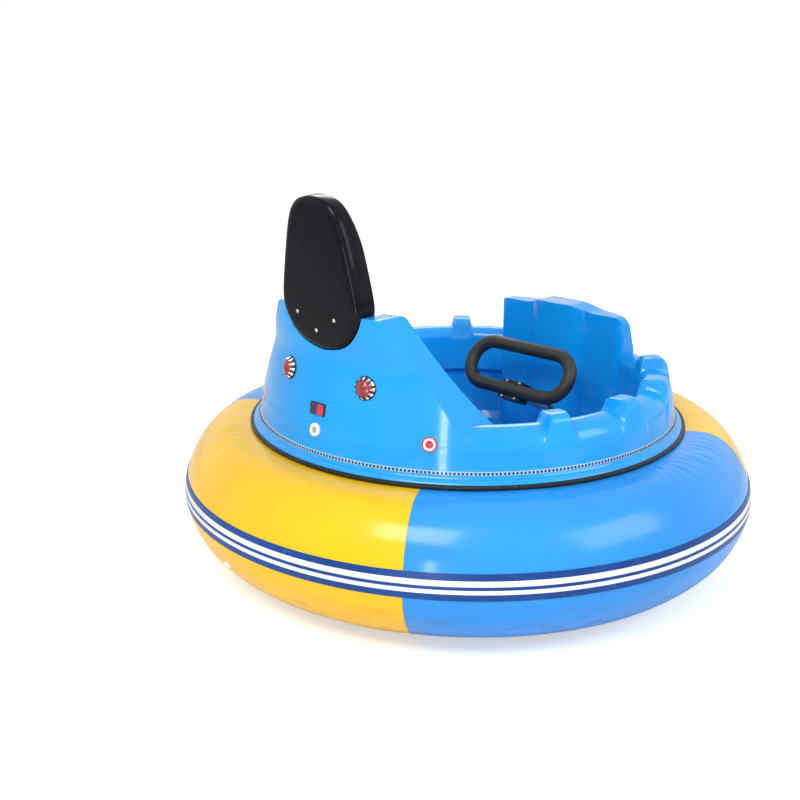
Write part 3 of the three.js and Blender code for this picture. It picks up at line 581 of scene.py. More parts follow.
def ringQuarter(name, node, start, end, finish):
    count = ring["across"]
    columns = ring["around"]
    first = radians(start) + ring["gap"]
    last = radians(end) - ring["gap"]

    def place(column, row):
        # the outermost columns close the ends, a little inside the skin
        if column in (0, columns):
            angle = first if column == 0 else last
            return ringPoint(angle, int(row) % count, -0.002)
        angle = first + (last - first) * (column - 1) / (columns - 2)
        return ringPoint(angle, int(row) % count)

    piece = shaped(name, columns, count, place, 60)
    ends = (bpy.ops.mesh.select_non_manifold, {"extend": False}), (bpy.ops.mesh.edge_face_add, {})
    edited(piece, *ends, pick="DESELECT")
    dressed(tidied(piece, 60), finish)
    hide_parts(node)


quarters = (("tube_front", "yellow"), ("tube_left", "blue"), ("tube_rear", "yellow"), ("tube_right", "blue"))
for i, (node, colour) in enumerate(quarters):
    start = ring["seams"][i]
    end = ring["seams"][i + 1] if i < 3 else ring["seams"][0] + 360
    ringQuarter("skin_" + node, node, start, end, colour)
print("ring skinned")

# the rubbing band, two white lines along it

band = {
    "low": -0.0125, "high": 0.0645, "lines": ((0.0080, 0.0195), (0.0300, 0.0455)),
    "thick": 0.0024, "proud": 0.0005, "around": 720,
}


def bandWall(up):
    # radius of the ring's outer wall at a height above or below its widest circle
    outer = [p for p in ringLoop if p[0] > 0.05]
    outer.sort(key=lambda p: p[1])
    for a, b in zip(outer, outer[1:]):
        if a[1] <= up <= b[1]:
            return ring["middle"] + a[0] + (b[0] - a[0]) * (up - a[1]) / (b[1] - a[1])
    return ring["middle"] + ring["halfWidth"]


low, high = band["low"], band["high"]
edges = [low, low + 0.0012]
for a, b in band["lines"]:
    edges += [a - 0.0004, a, b, b + 0.0004]
edges += [high - 0.0012, high]
rows = []
for a, b in zip(edges, edges[1:]):
    pieces = 1 if b - a < 0.002 else 4
    rows += [a + (b - a) * k / pieces for k in range(pieces)]
rows.append(high)
loop = [(low + 0.001, -0.003)]
for up in rows:
    onLine = any(a <= up <= b for a, b in band["lines"])
    edge = up in (low, high)
    lift = 0.0010 if edge else band["thick"] + (band["proud"] if onLine else 0)
    loop.append((up, lift))
loop.append((high - 0.001, -0.003))
count = len(loop)


def place(column, row):
    angle = 2 * pi * column / band["around"]
    up, lift = loop[int(row) % count]
    swell = ringSwell(angle, 0.15, up)
    return polar(angle, bandWall(up) + lift + swell * 0.5, ring["height"] + up)


piece = shaped("bandStrip", band["around"], count, place, 40)
dressed(piece, "band", "stripe")
for face in piece.data.polygons:
    up = face.center.z - ring["height"]
    inLine = any(a - 0.0003 < up < b + 0.0003 for a, b in band["lines"])
    outside = hypot(face.center.x, face.center.y) > bandWall(up)
    face.material_index = 1 if inLine and outside else 0
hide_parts("rubbing_band")

# air valve: a flanged seat with a ribbed cap
valve = {
    "angle": 170, "reach": 0.82, "tilt": 0.9, "radius": 0.0157, "ribs": 10, "rib": (0.0014, 0.0035, 0.0016),
}


def valveSpot():
    across = valve["reach"] * ring["halfWidth"]
    share = 1 - valve["reach"] ** ring["lowerPower"]
    up = -ring["drop"] * share ** (1 / ring["lowerPower"])
    return facing(radians(valve["angle"]), -valve["tilt"], ring["middle"] + across, ring["height"] + up)


r = valve["radius"]
profile = [
    (0, -0.012), (r * 0.8, -0.012), (r, -0.004), (r, 0.0012), (r * 0.94, 0.0022), (r * 0.66, 0.0024),
    (r * 0.60, 0.0045), (r * 0.30, 0.0052), (0, 0.0054)]
piece = spun("valveSeat", profile, 48, valveSpot())
dressed(piece, "white")
ribs = []
for i in range(valve["ribs"]):
    rib = bar("valveRib", valve["rib"], 0.0004)
    turn = Matrix.Rotation(2 * pi * i / valve["ribs"], 4, "Z") @ Matrix.Translation((r * 0.62, 0, 0.0036))
    rib.data.transform(valveSpot() @ turn @ Matrix.Rotation(pi / 2, 4, "Z"))
    ribs.append(rib)
cap = joined("valveRibs", *ribs)
dressed(cap, "white")
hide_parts("air_valve")
print("band and valve made")

# hull: flange, skirt and rolled coaming with its ribs, one moulding

hull = {
    "skirt": 0.741, "lean": 0.184, "flangeLow": 0.4619, "flangeHigh": 0.4843, "flangeRadius": 0.716,
    "inner": 0.574, "crownRadius": 0.617, "crown": 0.622, "shoulder": 0.550, "lip": 0.583,
    "ribs": (43, 67, 91, 115), "ribTop": 0.656, "ribFoot": 0.512, "ribHalfTop": 0.036, "ribHalfFoot": 0.068,
    "ribFlank": 0.016, "ribProud": 0.006, "around": 1200,
}


def skirtAt(height, proud=0.0):
    return hull["skirt"] - hull["lean"] * (height - ring["height"]) + proud


def coamingTurn():
    # plain section from the flange's outer edge over the crown to the inside edge, as (radius, height)
    low, high, outer = hull["flangeLow"], hull["flangeHigh"], hull["flangeRadius"]
    foot = skirtAt(high)
    points = [(hull["inner"] + 0.002, low), (outer - 0.003, low), (outer, low + 0.002), (outer, high - 0.011)]
    points += [(outer - 0.001, high - 0.0088), (outer - 0.009, high - 0.0008), (outer - 0.011, high)]
    points += [(foot + 0.008, high + 0.0004), (foot + 0.003, high + 0.002), (foot + 0.0002, high + 0.006)]
    rise = hull["shoulder"] - high - 0.012
    points += [(skirtAt(high + 0.012 + rise * k / 5), high + 0.012 + rise * k / 5) for k in range(6)]
    wide = skirtAt(hull["shoulder"]) - hull["crownRadius"]
    tall = hull["crown"] - hull["shoulder"]
    points += [(hull["crownRadius"] + wide * c ** 0.95, hull["shoulder"] + tall * s) for c, s in quarter(14, 1)]
    wide = hull["crownRadius"] - hull["inner"]
    tall = hull["crown"] - hull["lip"]
    points += [(hull["crownRadius"] - wide * s, hull["lip"] + tall * c) for c, s in quarter(12, 1)]
    points += [(hull["inner"], hull["lip"] - (hull["lip"] - low) * k / 6) for k in range(1, 6)]
    points.append((hull["inner"], low + 0.002))
    return points


plainTurn = coamingTurn()


def ribTurn():
    # the same points where a rib stands: outer face straight up, flat top, short drop inside
    raised = []
    path = [
        (skirtAt(0.512), 0.512), (skirtAt(0.560, hull["ribProud"]), 0.560), (0.6745, 0.632), (0.6715, 0.6425),
        (0.664, 0.6505), (0.654, 0.6550), (0.642, 0.6562), (0.604, 0.6545), (0.594, 0.6515), (0.5875, 0.643),
        (0.5845, 0.630), (0.5800, 0.600), (0.5745, 0.580), (0.574, 0.570)]
    start = next(i for i, p in enumerate(plainTurn) if p[1] > path[0][1])
    end = next(i for i, p in enumerate(plainTurn) if i > start + 20 and p[1] <= hull["lip"] + 1e-6)
    spans = [0]
    for a, b in zip(path, path[1:]):
        spans.append(spans[-1] + hypot(b[0] - a[0], b[1] - a[1]))
    for i, point in enumerate(plainTurn):
        if i < start or i > end:
            raised.append(point)
            continue
        want = spans[-1] * (i - start) / (end - start)
        k = max(j for j in range(len(spans) - 1) if spans[j] <= want + 1e-9)
        part = (want - spans[k]) / (spans[k + 1] - spans[k])
        a, b = path[k], path[k + 1]
        raised.append((a[0] + (b[0] - a[0]) * part, a[1] + (b[1] - a[1]) * part))
    return raised


raisedTurn = ribTurn()


def ribShare(angle, height):
    # 1 on a rib, 0 off it; the flanks are drafted and the rib widens towards its foot
    share = 0.0
    for middle in hull["ribs"]:
        for sign in (1, -1):
            off = abs((angle - sign * radians(middle) + pi) % (2 * pi) - pi) * 0.66
            up = blendStep(hull["ribFoot"], hull["ribTop"], height)
            half = hull["ribHalfFoot"] + (hull["ribHalfTop"] - hull["ribHalfFoot"]) * up
            share = max(share, 1 - blendStep(half - hull["ribFlank"] / 2, half + hull["ribFlank"] / 2, off))
    return share


count = len(plainTurn)


def place(column, row):
    angle = 2 * pi * column / hull["around"]
    k = int(row) % count
    plain, raised = plainTurn[k], raisedTurn[k]
    share = ribShare(angle, raised[1]) if raised != plain else 0
    r = plain[0] + (raised[0] - plain[0]) * share
    return polar(angle, r, plain[1] + (raised[1] - plain[1]) * share)


piece = shaped("hullDeck", hull["around"], count, place, 35)
dressed(piece, "hull")
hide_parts("hull_flange", "coaming_left", "coaming_right")

# edge trim: a soft black bead round the flange
trim = {"inner": 0.7162, "outer": 0.7262, "low": 0.4622, "high": 0.4742}

inner, outer, low, high = trim["inner"], trim["outer"], trim["low"], trim["high"]
profile = [
    (inner, low), (outer - 0.003, low), (outer - 0.0008, low + 0.0012), (outer, low + 0.0035),
    (outer, high - 0.006), (outer - 0.0008, high - 0.003), (outer - 0.003, high - 0.0008),
    (outer - 0.0055, high), (inner + 0.001, high + 0.0002), (inner, high - 0.0005)]
piece = spun("edgeBead", profile, 360)
dressed(piece, "trim")
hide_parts("edge_trim")

# lamp strip: a pale channel with small dark lamps close together
lamps = {"height": 0.501, "depth": 0.012, "proud": 0.0018, "count": 364, "size": (0.0022, 0.0062, 0.0072)}

low = lamps["height"] - lamps["depth"] / 2
high = lamps["height"] + lamps["depth"] / 2
proud = lamps["proud"]
profile = [
    (skirtAt(low) - 0.002, low), (skirtAt(low, proud * 0.6), low), (skirtAt(low + 0.001, proud), low + 0.001),
    (skirtAt(high - 0.001, proud), high - 0.001), (skirtAt(high, proud * 0.6), high),
    (skirtAt(high) - 0.002, high)]
strip = spun("lampChannel", profile, 360)
dressed(strip, "lampPale")
lamp = bar("lampDot", lamps["size"], 0.0007, 1)
lean = Matrix.Rotation(-atan(hull["lean"]), 4, "Y")
copies = []
for i in range(lamps["count"]):
    copy = lamp.copy()
    copy.data = lamp.data.copy()
    bpy.context.scene.collection.objects.link(copy)
    turn = Matrix.Rotation(2 * pi * i / lamps["count"], 4, "Z")
    spot = Matrix.Translation((skirtAt(lamps["height"], proud), 0, lamps["height"]))
    copy.data.transform(turn @ spot @ lean)
    copies.append(copy)
bpy.data.objects.remove(lamp)
dots = joined("lampDots", *copies)
bpy.ops.object.shade_smooth_by_angle(angle=radians(30))
dressed(dots, "lampDark")
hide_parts("lamp_strip")
print("hull deck, trim and lamps made")

# seat back: a tall domed shell with heavily rounded rear edges
seat = {
    "lean": 4.4, "pivot": 0.8599, "rear": -0.662, "thick": 0.080, "dome": 0.003, "corner": 0.025, "edge": 0.007,
    "rim": 0.028, "pocket": 0.012, "thinner": 0.020, "low": 0.8059, "tall": 0.454, "half": 0.165, "around": 220,
    "padHalf": 0.118, "padLow": -0.360, "padHigh": 0.127,
    "shares": (
        (0, 0), (0.27, 0.013), (0.47, 0.033), (0.64, 0.066), (0.775, 0.110), (0.88, 0.163), (0.957, 0.220),
        (1, 0.295), (0.973, 0.394), (0.897, 0.529), (0.83, 0.637), (0.755, 0.743), (0.66, 0.846), (0.55, 0.920),
        (0.41, 0.967), (0.21, 0.993), (0, 1)),
}
leanBack = (
    Matrix.Translation((seat["rear"], 0, seat["pivot"])) @ Matrix.Rotation(-radians(seat["lean"]), 4, "Y"))


def seatLine(count):
    # the shell's outline seen from behind, about its pivot, walked at even steps
    half = [(y * seat["half"], seat["low"] - seat["pivot"] + z * seat["tall"]) for y, z in seat["shares"]]
    corners = half + [(-y, z) for y, z in reversed(half[1:-1])]
    dense = []
    for i in range(len(corners)):
        a, b, c, d = (Vector(corners[(i + k) % len(corners)]) for k in (-1, 0, 1, 2))
        for step in range(12):
            s = step / 12
            curve = (2 * b + (c - a) * s + (2 * a - 5 * b + 4 * c - d) * s ** 2 + (3 * b - a - 3 * c + d) * s ** 3)
            dense.append(tuple(curve * 0.5))
    return evenLoop(dense, count)


seatOutline = seatLine(seat["around"])


def seatSpot(k, inset, share=1.0):
    # outline point k moved in by the inset, then drawn towards the middle of the shell
    count = len(seatOutline)
    y, z = seatOutline[k % count]
    out = loopNormal(seatOutline, k % count)
    middle = seat["low"] + seat["tall"] / 2 - seat["pivot"]
    return (y - out[0] * inset) * share, middle + (z - out[1] * inset - middle) * share


def seatTaper(height):
    # the shell and its pad lose depth towards the top
    return seat["thinner"] * blendStep(1.10 - seat["pivot"], 1.27 - seat["pivot"], height)


def shellCut(name, depth, inset, reach):
    # a block with the shell's outline, in the seat's own frame
    loop = [(depth, *seatSpot(k, inset)) for k in range(0, seat["around"], 2)]
    return drawnOut(name, loop, (reach, 0, 0))


def padCut(name, depth, half, low, high, reach):
    return drawnOut(name, [(depth, y, z) for y, z in rectangle(-half, half, low, high)], (reach, 0, 0))


dome, corner, edge, thick = seat["dome"], seat["corner"], seat["edge"], seat["thick"]
rows = [(corner, s, dome * s * s) for s in (0, 0.12, 0.27, 0.42, 0.57, 0.72, 0.86, 1)]
rows += [(corner * (1 - s), 1, dome + corner * (1 - c)) for c, s in quarter(9, 1)]
rows += [(edge * (1 - c), 1, thick - edge + edge * s) for c, s in quarter(4)]
rim, floor = seat["rim"], thick - seat["pocket"]
rows += [(rim, 1, thick), (rim + 0.001, 1, thick - 0.0012), (rim + 0.0012, 1, floor), (rim + 0.0012, 0, floor)]


def place(column, row):
    inset, share, depth = rows[int(row)]
    y, z = seatSpot(int(column), inset, share)
    return depth - seatTaper(z) * min(1, depth / 0.05), y, z


piece = shaped("shellBack", seat["around"], len(rows) - 1, place, 35)
combined(piece, padCut("padSlot", floor, seat["padHalf"] + 0.0004, -0.2, 0.1, 0.1))
piece.data.transform(leanBack)
tidied(piece, 35, 1e-5)
dressed(piece, "shell")
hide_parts("seat_back_shell")

# domed screws that hold the shell, low on its rear face
screws = {"spots": ((0.088, 0.912), (-0.070, 0.908), (0.010, 0.866)), "radius": 0.0048, "stand": 0.0028}

made = []
for y, z in screws["spots"]:
    r, tall = screws["radius"], screws["stand"]
    profile = [
        (0, -0.004), (r * 0.7, -0.004), (r * 0.7, 0), (r * 1.3, 0), (r * 1.3, 0.0008), (r, 0.0012),
        (r * 0.92, tall * 0.6), (r * 0.62, tall), (r * 0.34, tall), (r * 0.30, tall * 0.45), (0, tall * 0.45)]
    spot = leanBack @ Matrix.Translation((seat["dome"] * 0.35, y, z - seat["pivot"]))
    made.append(spun("shellScrew", profile, 32, spot @ Matrix.Rotation(-pi / 2, 4, "Y")))
piece = joined("shellScrews", *made)
dressed(piece, "zinc")

# rear pod: the skirt carried up into two sloping wings that hold the seat
pod = {
    "top": 0.925, "halfWidth": 0.218, "slope": 1.5, "front": -0.284, "foot": 0.4846, "inner": 0.568,
    "rounding": 0.024, "edge": 0.010, "steps": 480, "notchGap": 0.0012, "recess": 0.003, "turn": 0.030,
    "crest": -0.646, "crestWidth": 0.006, "swell": 0.265,
}


def podProud(height):
    # sinks into the deck low down, so the wing's edge fades out there
    return -0.0012 + 0.0018 * blendStep(0.500, 0.552, height)


def podFrontView():
    # flat top and sloping wings with a rounded turn between them, as (across, height)
    top, half, slope, turn = pod["top"], pod["halfWidth"], pod["slope"], pod["turn"]
    lean = atan(slope)
    back = turn * tan(lean / 2)
    side = []
    for k in range(7):
        a = lean * k / 6
        side.append((half - back + turn * sin(a), top - turn + turn * cos(a)))
    foot = pod["foot"] - 0.01
    side.append((half + (top - foot) / slope, foot))
    return [(-y, z) for y, z in reversed(side)] + side


def swellShare(y, z):
    # 1 beside the shell, falling away across the wings and gone above the lamps
    spot = Vector((y, z - seat["pivot"]))
    far = min((spot - Vector(p)).length for p in seatOutline[::2])
    share = (far - pod["crestWidth"]) / (pod["swell"] - pod["crestWidth"])
    return (1 - min(1, max(0, share))) ** 1.5 * blendStep(0.735, 0.850, z)


top, foot, soft, inner = pod["top"], pod["foot"], pod["rounding"], pod["inner"]
profile = [(inner, foot)]
for k in range(19):
    z = foot + (top - soft - foot) * k / 18
    profile.append((skirtAt(z, podProud(z)), z))
edge = skirtAt(top - soft, podProud(top))
profile += [(edge - soft * (1 - c), top - soft + soft * s) for c, s in quarter(6, 1)]
profile += [(inner + 0.010 * (1 - s), top - 0.010 * (1 - c)) for c, s in quarter(3)]
piece = spun("podShell", profile, pod["steps"])
for vertex in piece.data.vertices:
    x, y, z = vertex.co
    far = hypot(x, y)
    if x < -0.40 and far > inner + 0.012 and abs(y) < 0.42 and z > 0.73:
        vertex.co.x += (pod["crest"] - x) * swellShare(y, z) if x > pod["crest"] else 0
blank = [(-0.8, y, z) for y, z in podFrontView()]
combined(piece, drawnOut("podBlank", blank, (0.8 + pod["front"], 0, 0)), "INTERSECT")
depth, more = seat["thick"] - seat["pocket"] - 0.0005, pod["recess"]
cuts = (
    shellCut("notch", -0.2, -pod["notchGap"], 0.5), shellCut("recessHead", depth, seat["rim"] - more, 0.3),
    padCut("recessBody", depth, seat["padHalf"] + more, seat["padLow"] - more, seat["padHigh"], 0.3))
for cut in cuts:
    cut.data.transform(leanBack)
    combined(piece, cut)
tidied(piece, 30, 1e-4)
rounded(piece, pod["edge"], 5, 32)
dressed(piece, "hull")
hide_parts("rear_pod")
print("pod and seat shell made")

# front cowl: a panel each side of a bulge that faces the driver

cowl = {
    "rear": 0.500, "bulge": 0.038, "bulgeHalf": 0.117, "half": 0.272, "corner": 0.030, "top": 0.752, "rise": 0.023,
    "topCorner": 0.034, "low": 0.2529, "nose": 0.604,
}


def cowlPlan():
    points = []
    for i in range(41):
        y = -cowl["bulgeHalf"] + 2 * cowl["bulgeHalf"] * i / 40
        share = max(0, 1 - abs(y / cowl["bulgeHalf"]) ** 2.2) ** 0.62
        points.append((cowl["rear"] - cowl["bulge"] * share, y))
    side = []
    r = cowl["corner"]
    side += [(cowl["rear"] + r - r * c, cowl["half"] - r + r * s) for c, s in quarter(8)]
    side.append((0.72, cowl["half"]))
    return points + side + [(x, -y) for x, y in reversed(side)]


def cowlTopLine():
    r = cowl["topCorner"]
    half = [(cowl["half"] - r + r * c, cowl["top"] - r + r * s) for c, s in quarter(8)]
    for i in range(13):
        y = 0.150 * (1 - i / 12)
        half.append((y, cowl["top"] + cowl["rise"] * (1 - blendStep(0.055, 0.150, y))))
    return [(cowl["half"], cowl["low"])] + half + [(-y, z) for y, z in reversed(half[:-1])] + [
        (-cowl["half"], cowl["low"])]


piece = drawnOut("cowlShell", [(x, y, cowl["low"]) for x, y in cowlPlan()], (0, 0, 0.6))
outline = [(0.40, y, z) for y, z in cowlTopLine()]
combined(piece, drawnOut("cowlFace", outline, (0.4, 0, 0)), "INTERSECT")
low, top = cowl["low"], cowl["top"]
profile = [
    (0, low - 0.01), (0.552, low - 0.01), (0.585, 0.265), (0.5965, 0.29), (0.5965, 0.46), (0.640, 0.50),
    (0.648, 0.60), (0.645, 0.63), (0.635, 0.66), (cowl["nose"] + 0.012, top - 0.030), (cowl["nose"], top - 0.010),
    (cowl["nose"] - 0.012, top + 0.004), (cowl["nose"] - 0.034, top + cowl["rise"] - 0.002),
    (cowl["nose"] - 0.05, top + cowl["rise"] + 0.004), (0, top + cowl["rise"] + 0.006)]
combined(piece, spun("cowlLimit", profile, 240), "INTERSECT")
tidied(piece, 30, 1e-4)
rounded(piece, 0.010, 4, 32)
dressed(piece, "hull")
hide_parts("front_cowl")

# steering loop: a padded tube with fully rounded ends

steer = {
    "point": (0.243, 0, 0.495), "rake": 30, "width": 0.478, "tall": 0.206, "tube": 0.024, "corner": 0.079,
    "along": 260, "around": 28,
}


def steerFrame():
    rake = radians(steer["rake"])
    up = Vector((-cos(rake), 0, sin(rake)))
    side = Vector((0, 1, 0))
    matrix = Matrix((side.cross(up), side, up)).transposed().to_4x4()
    matrix.translation = steer["point"]
    return matrix


def loopLine():
    # centre line as (up, across, heading), evenly spaced
    r = steer["corner"]
    half = steer["width"] / 2 - steer["tube"]
    tall = steer["tall"] - 2 * steer["tube"]
    straight, side = 2 * (half - r), max(0.0, tall - 2 * r)
    quarter = pi / 2 * r
    lengths = [straight, quarter, side, quarter, straight, quarter, side, quarter]
    total = sum(lengths)
    line = []
    for i in range(steer["along"]):
        s = total * i / steer["along"]
        k = 0
        while s > lengths[k]:
            s -= lengths[k]
            k += 1
        turn = (k + 1) // 2 * pi / 2
        if k % 2 == 0:
            start = [(0, -(half - r)), (r, half), (tall, half - r), (tall - r, -half)][k // 2]
            u, v = start[0] + sin(turn) * s, start[1] + cos(turn) * s
            heading = turn
        else:
            centre = [(r, half - r), (tall - r, half - r), (tall - r, -(half - r)), (r, -(half - r))][k // 2]
            base = k // 2 * pi / 2
            a = base + s / r
            u, v = centre[0] - cos(a) * r, centre[1] + sin(a) * r
            heading = a
        line.append((u, v, heading))
    return line


line = loopLine()
spot = steerFrame()


def place(column, row):
    u, v, heading = line[int(column) % steer["along"]]
    a = 2 * pi * row / steer["around"]
    # the sleeve is laced along the inside and swells a little between the laces
    lace = 0.0005 * cos(int(column) * pi * 2 * 65 / steer["along"]) * (0.5 - 0.5 * cos(a))
    r = steer["tube"] - 0.0006 + lace
    side = Vector((cos(heading), -sin(heading), 0))
    point = Vector((u, v, 0)) - side * cos(a) * r + Vector((0, 0, 1)) * sin(a) * r
    return spot @ point


piece = shaped("loopSleeve", steer["along"], steer["around"], place, 50)
dressed(piece, "grip", body="steering")
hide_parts("steering_loop")

# bracket under the lower bar and its clamp bolts
bracket = {"half": 0.034, "wide": 0.045, "deep": 0.052, "stand": 0.0055, "bore": 0.0243, "bolts": (0.0285, 0.028)}

half, wide = bracket["half"], bracket["wide"]
piece = block("barClamp", (-half, -wide, -bracket["deep"]), (half, wide, bracket["stand"]))
r, reach = bracket["bore"], 0.09
bore = spun("barBore", [(0, -reach), (r, -reach), (r, reach), (0, reach)], 64, Matrix.Rotation(pi / 2, 4, "X"))
combined(piece, bore)
tidied(piece, 30, 1e-4)
rounded(piece, 0.004, 3, 40)
piece.data.transform(spot)
dressed(piece, "black", body="steering")
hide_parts("steering_bracket")
bolts = []
x, y = bracket["bolts"]
profile = [
    (0, -0.004), (0.0048, -0.004), (0.0048, 0.001), (0.0046, 0.0022), (0.0038, 0.003), (0.0024, 0.003),
    (0.0022, 0.0012), (0, 0.0012)]
for corner in ((-x, -y), (-x, y), (x, -y), (x, y)):
    bolts.append(spun("clampBolt", profile, 24, spot @ Matrix.Translation((*corner, bracket["stand"]))))
piece = joined("clampBolts", *bolts)
dressed(piece, "zinc", body="steering")

# ribbed rubber boot where the column goes into the cowl
boot = {"near": -0.232, "far": -0.322, "bore": 0.0165, "outer": 0.0235, "groove": 0.0222, "grooves": 4}

near, far, bore, outer, groove = (boot[key] for key in ("near", "far", "bore", "outer", "groove"))
profile = [(bore, far), (outer, far), (outer, near - 0.010)]
for k in range(boot["grooves"]):
    s = near - 0.010 + 0.0025 * k
    profile += [(outer, s), (groove, s + 0.0006), (groove, s + 0.0018), (outer, s + 0.0024)]
profile += [(0.0225, near), (bore, near)]
piece = spun("columnBoot", profile, 64, steerFrame())
dressed(piece, "trim")
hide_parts("column_bush")
print("cowl and steering made")

# lamps and fittings on the skirt

fittings = {
    "jewelAngle": 165.4, "jewelHeight": 0.718, "jewel": 0.0278, "bezel": 0.036, "markerAngle": 147.6,
    "markerHeight": 0.580, "marker": 0.023, "tailHeight": 0.629, "tail": (0.062, 0.037), "capHeight": 0.566,
    "cap": 0.0209,
}


def skirtSpot(heading, height):
    return facing(radians(heading), hull["lean"], skirtAt(height), height, podProud(height))


def makeJewel(name, sign):
    # cut-glass lens: staggered rings of flat facets
    spot = skirtSpot(sign * fittings["jewelAngle"], fittings["jewelHeight"])
    r = fittings["jewel"]
    rings = [(r * 0.99, 0.006), (r * 0.93, 0.0115), (r * 0.72, 0.0170), (r * 0.44, 0.0205), (r * 0.16, 0.0225)]
    sides = 14

    def place(column, row):
        k = int(row)
        if k in (0, 7):
            return 0.0, 0.0, 0.0229 if k else -0.012
        if k == 1:
            return polar(2 * pi * column / sides, r * 0.99, -0.012)
        return polar(2 * pi * (column + 0.5 * (k % 2)) / sides, *rings[k - 2])

    lens = shaped("jewelLens_" + name, sides, 7, place, 5)
    edited(lens, (bpy.ops.mesh.quads_convert_to_tris, {}))
    bpy.ops.object.shade_flat()
    lens.data.transform(spot)
    dressed(lens, "red")
    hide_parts("jewel_lamp_" + name)
    # bezel with bright claws that reach in over the lens; its base takes the black finish, a painted reflection
    # standing in for the dark surroundings that a chrome ring reflects
    wide = fittings["bezel"]
    points = 11

    def crown(column, row):
        a = 2 * pi * column / 160
        star = max(0, cos(points * a)) ** 1.5
        tip = r * (1 - 0.20 * star) + 0.0008
        section = [
            (r + 0.0004, -0.010), (wide - 0.0055, -0.010), (wide - 0.0055, 0.0), (wide - 0.0004, 0.0),
            (wide, 0.0016), (wide - 0.0012 - 0.0015 * (1 - star), 0.0042), (wide - 0.0035, 0.0055 + 0.0030 * star),
            (r + 0.0020 - 0.0045 * star, 0.0072 + 0.0068 * star), (tip, 0.0080 + 0.0090 * star),
            (tip, 0.0074 + 0.0084 * star), (r + 0.0006, 0.0066 + 0.0060 * star)]
        return polar(a, *section[int(row) % len(section)])

    bezel = shaped("jewelBezel_" + name, 220, 11, crown, 25)
    # painted reflection: the faces between and below the claws are black, the claws chrome
    dressed(bezel, "chrome", "black")
    for face in bezel.data.polygons:
        turn = atan2(face.center.y, face.center.x)
        face.material_index = 0 if cos(points * turn) > -0.2 and face.center.z > 0.003 else 1
    bezel.data.transform(spot)
    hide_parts("jewel_bezel_" + name)


def makeMarker(name, sign):
    spot = skirtSpot(sign * fittings["markerAngle"], fittings["markerHeight"])
    r = fittings["marker"]
    profile = [
        (0, -0.006), (0.0075, -0.006), (0.0075, 0.0004), (r, 0.0004), (r, 0.0032), (r * 0.96, 0.0046),
        (r * 0.84, 0.0052), (r * 0.80, 0.0046), (r * 0.76, 0.0052), (r * 0.56, 0.0058), (r * 0.50, 0.0050),
        (r * 0.46, 0.0060), (r * 0.25, 0.0072), (0, 0.0076)]
    piece = spun("marker_" + name, profile, 72)
    dressed(piece, "white", "mark")
    for face in piece.data.polygons:
        far = hypot(face.center.x, face.center.y) / r
        face.material_index = 1 if face.center.z > 0.002 and (far > 0.79 or far < 0.49) else 0
    piece.data.transform(spot)
    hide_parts("side_marker_" + name)


for name, sign in (("left", 1), ("right", -1)):
    makeJewel(name, sign)
    makeMarker(name, sign)


# tail light: a dark case, its lens red on one half and dark on the other
spot = skirtSpot(180, fittings["tailHeight"])
wide, tall = fittings["tail"]


def slab(name, left, right, half, low, high, edge):
    return rounded(block(name, (left, -half, low), (right, half, high)), edge, 3, 40)


case = slab("tailCase", -wide / 2, wide / 2, tall / 2, -0.009, 0.0045, 0.0018)
case.data.transform(spot)
dressed(case, "black")
rim, part = 0.0028, 0.003
lenses = ("Red", part, wide / 2 - rim, "tail"), ("Dark", rim - wide / 2, part, "darkLens")
for name, left, right, finish in lenses:
    lens = slab("tailLens" + name, left, right, tall / 2 - rim, 0.0, 0.0086, 0.0022)
    lens.data.transform(spot)
    dressed(lens, finish)
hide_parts("tail_light")

# round white socket cover with a ring of small dark holes
spot = skirtSpot(180, fittings["capHeight"])
r = fittings["cap"]
profile = [
    (0, -0.006), (0.0075, -0.006), (0.0075, 0.0004), (r, 0.0004), (r, 0.0035), (r * 0.95, 0.0058),
    (r * 0.84, 0.0072), (r * 0.70, 0.0070), (r * 0.62, 0.0052), (r * 0.30, 0.0050), (0, 0.0050)]
piece = spun("socketCap", profile, 72, spot)
dressed(piece, "white")
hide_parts("charge_cap")
hole = [(0, 0.0048), (0.0021, 0.0048), (0.0024, 0.0052), (0.0024, 0.0057), (0.0018, 0.0059), (0, 0.0056)]
spots = [polar(2 * pi * i / 6, r * 0.34) for i in range(6)] + [(0, 0, 0)]
pins = [spun("socketPin", hole, 20, spot @ Matrix.Translation(place)) for place in spots]
piece = joined("socketPins", *pins)
dressed(piece, "black")
print("fittings made")

# seat pads: a shrunken copy blown up a little as cloth, then the sewn channels

pads = {
    "voxel": 0.006, "pressure": 4.0, "frames": 20, "cap": 0.012, "seam": 0.0055,
    "border": 0.055, "across": (-0.40, -0.285, -0.17), "rails": 0.062, "rungs": (0.62, 0.74, 0.86, 0.98, 1.09),
}


def padStart(name, node, shrink):
    source = bpy.data.objects[node]
    piece = source.copy()
    piece.data = source.data.copy()
    piece.name = name
    piece.data.name = name
    piece.hide_render = False
    bpy.context.scene.collection.objects.link(piece)
    tidied(piece, 30, 1e-4)
    low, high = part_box(node)
    middle = (Vector(low) + Vector(high)) / 2
    size = Vector(high) - Vector(low)
    scale = Matrix.Diagonal([1 - 2 * shrink / side for side in size] + [1])
    piece.data.transform(Matrix.Translation(middle) @ scale @ Matrix.Translation(-middle))
    return changed(piece, "REMESH", mode="VOXEL", voxel_size=pads["voxel"], adaptivity=0)


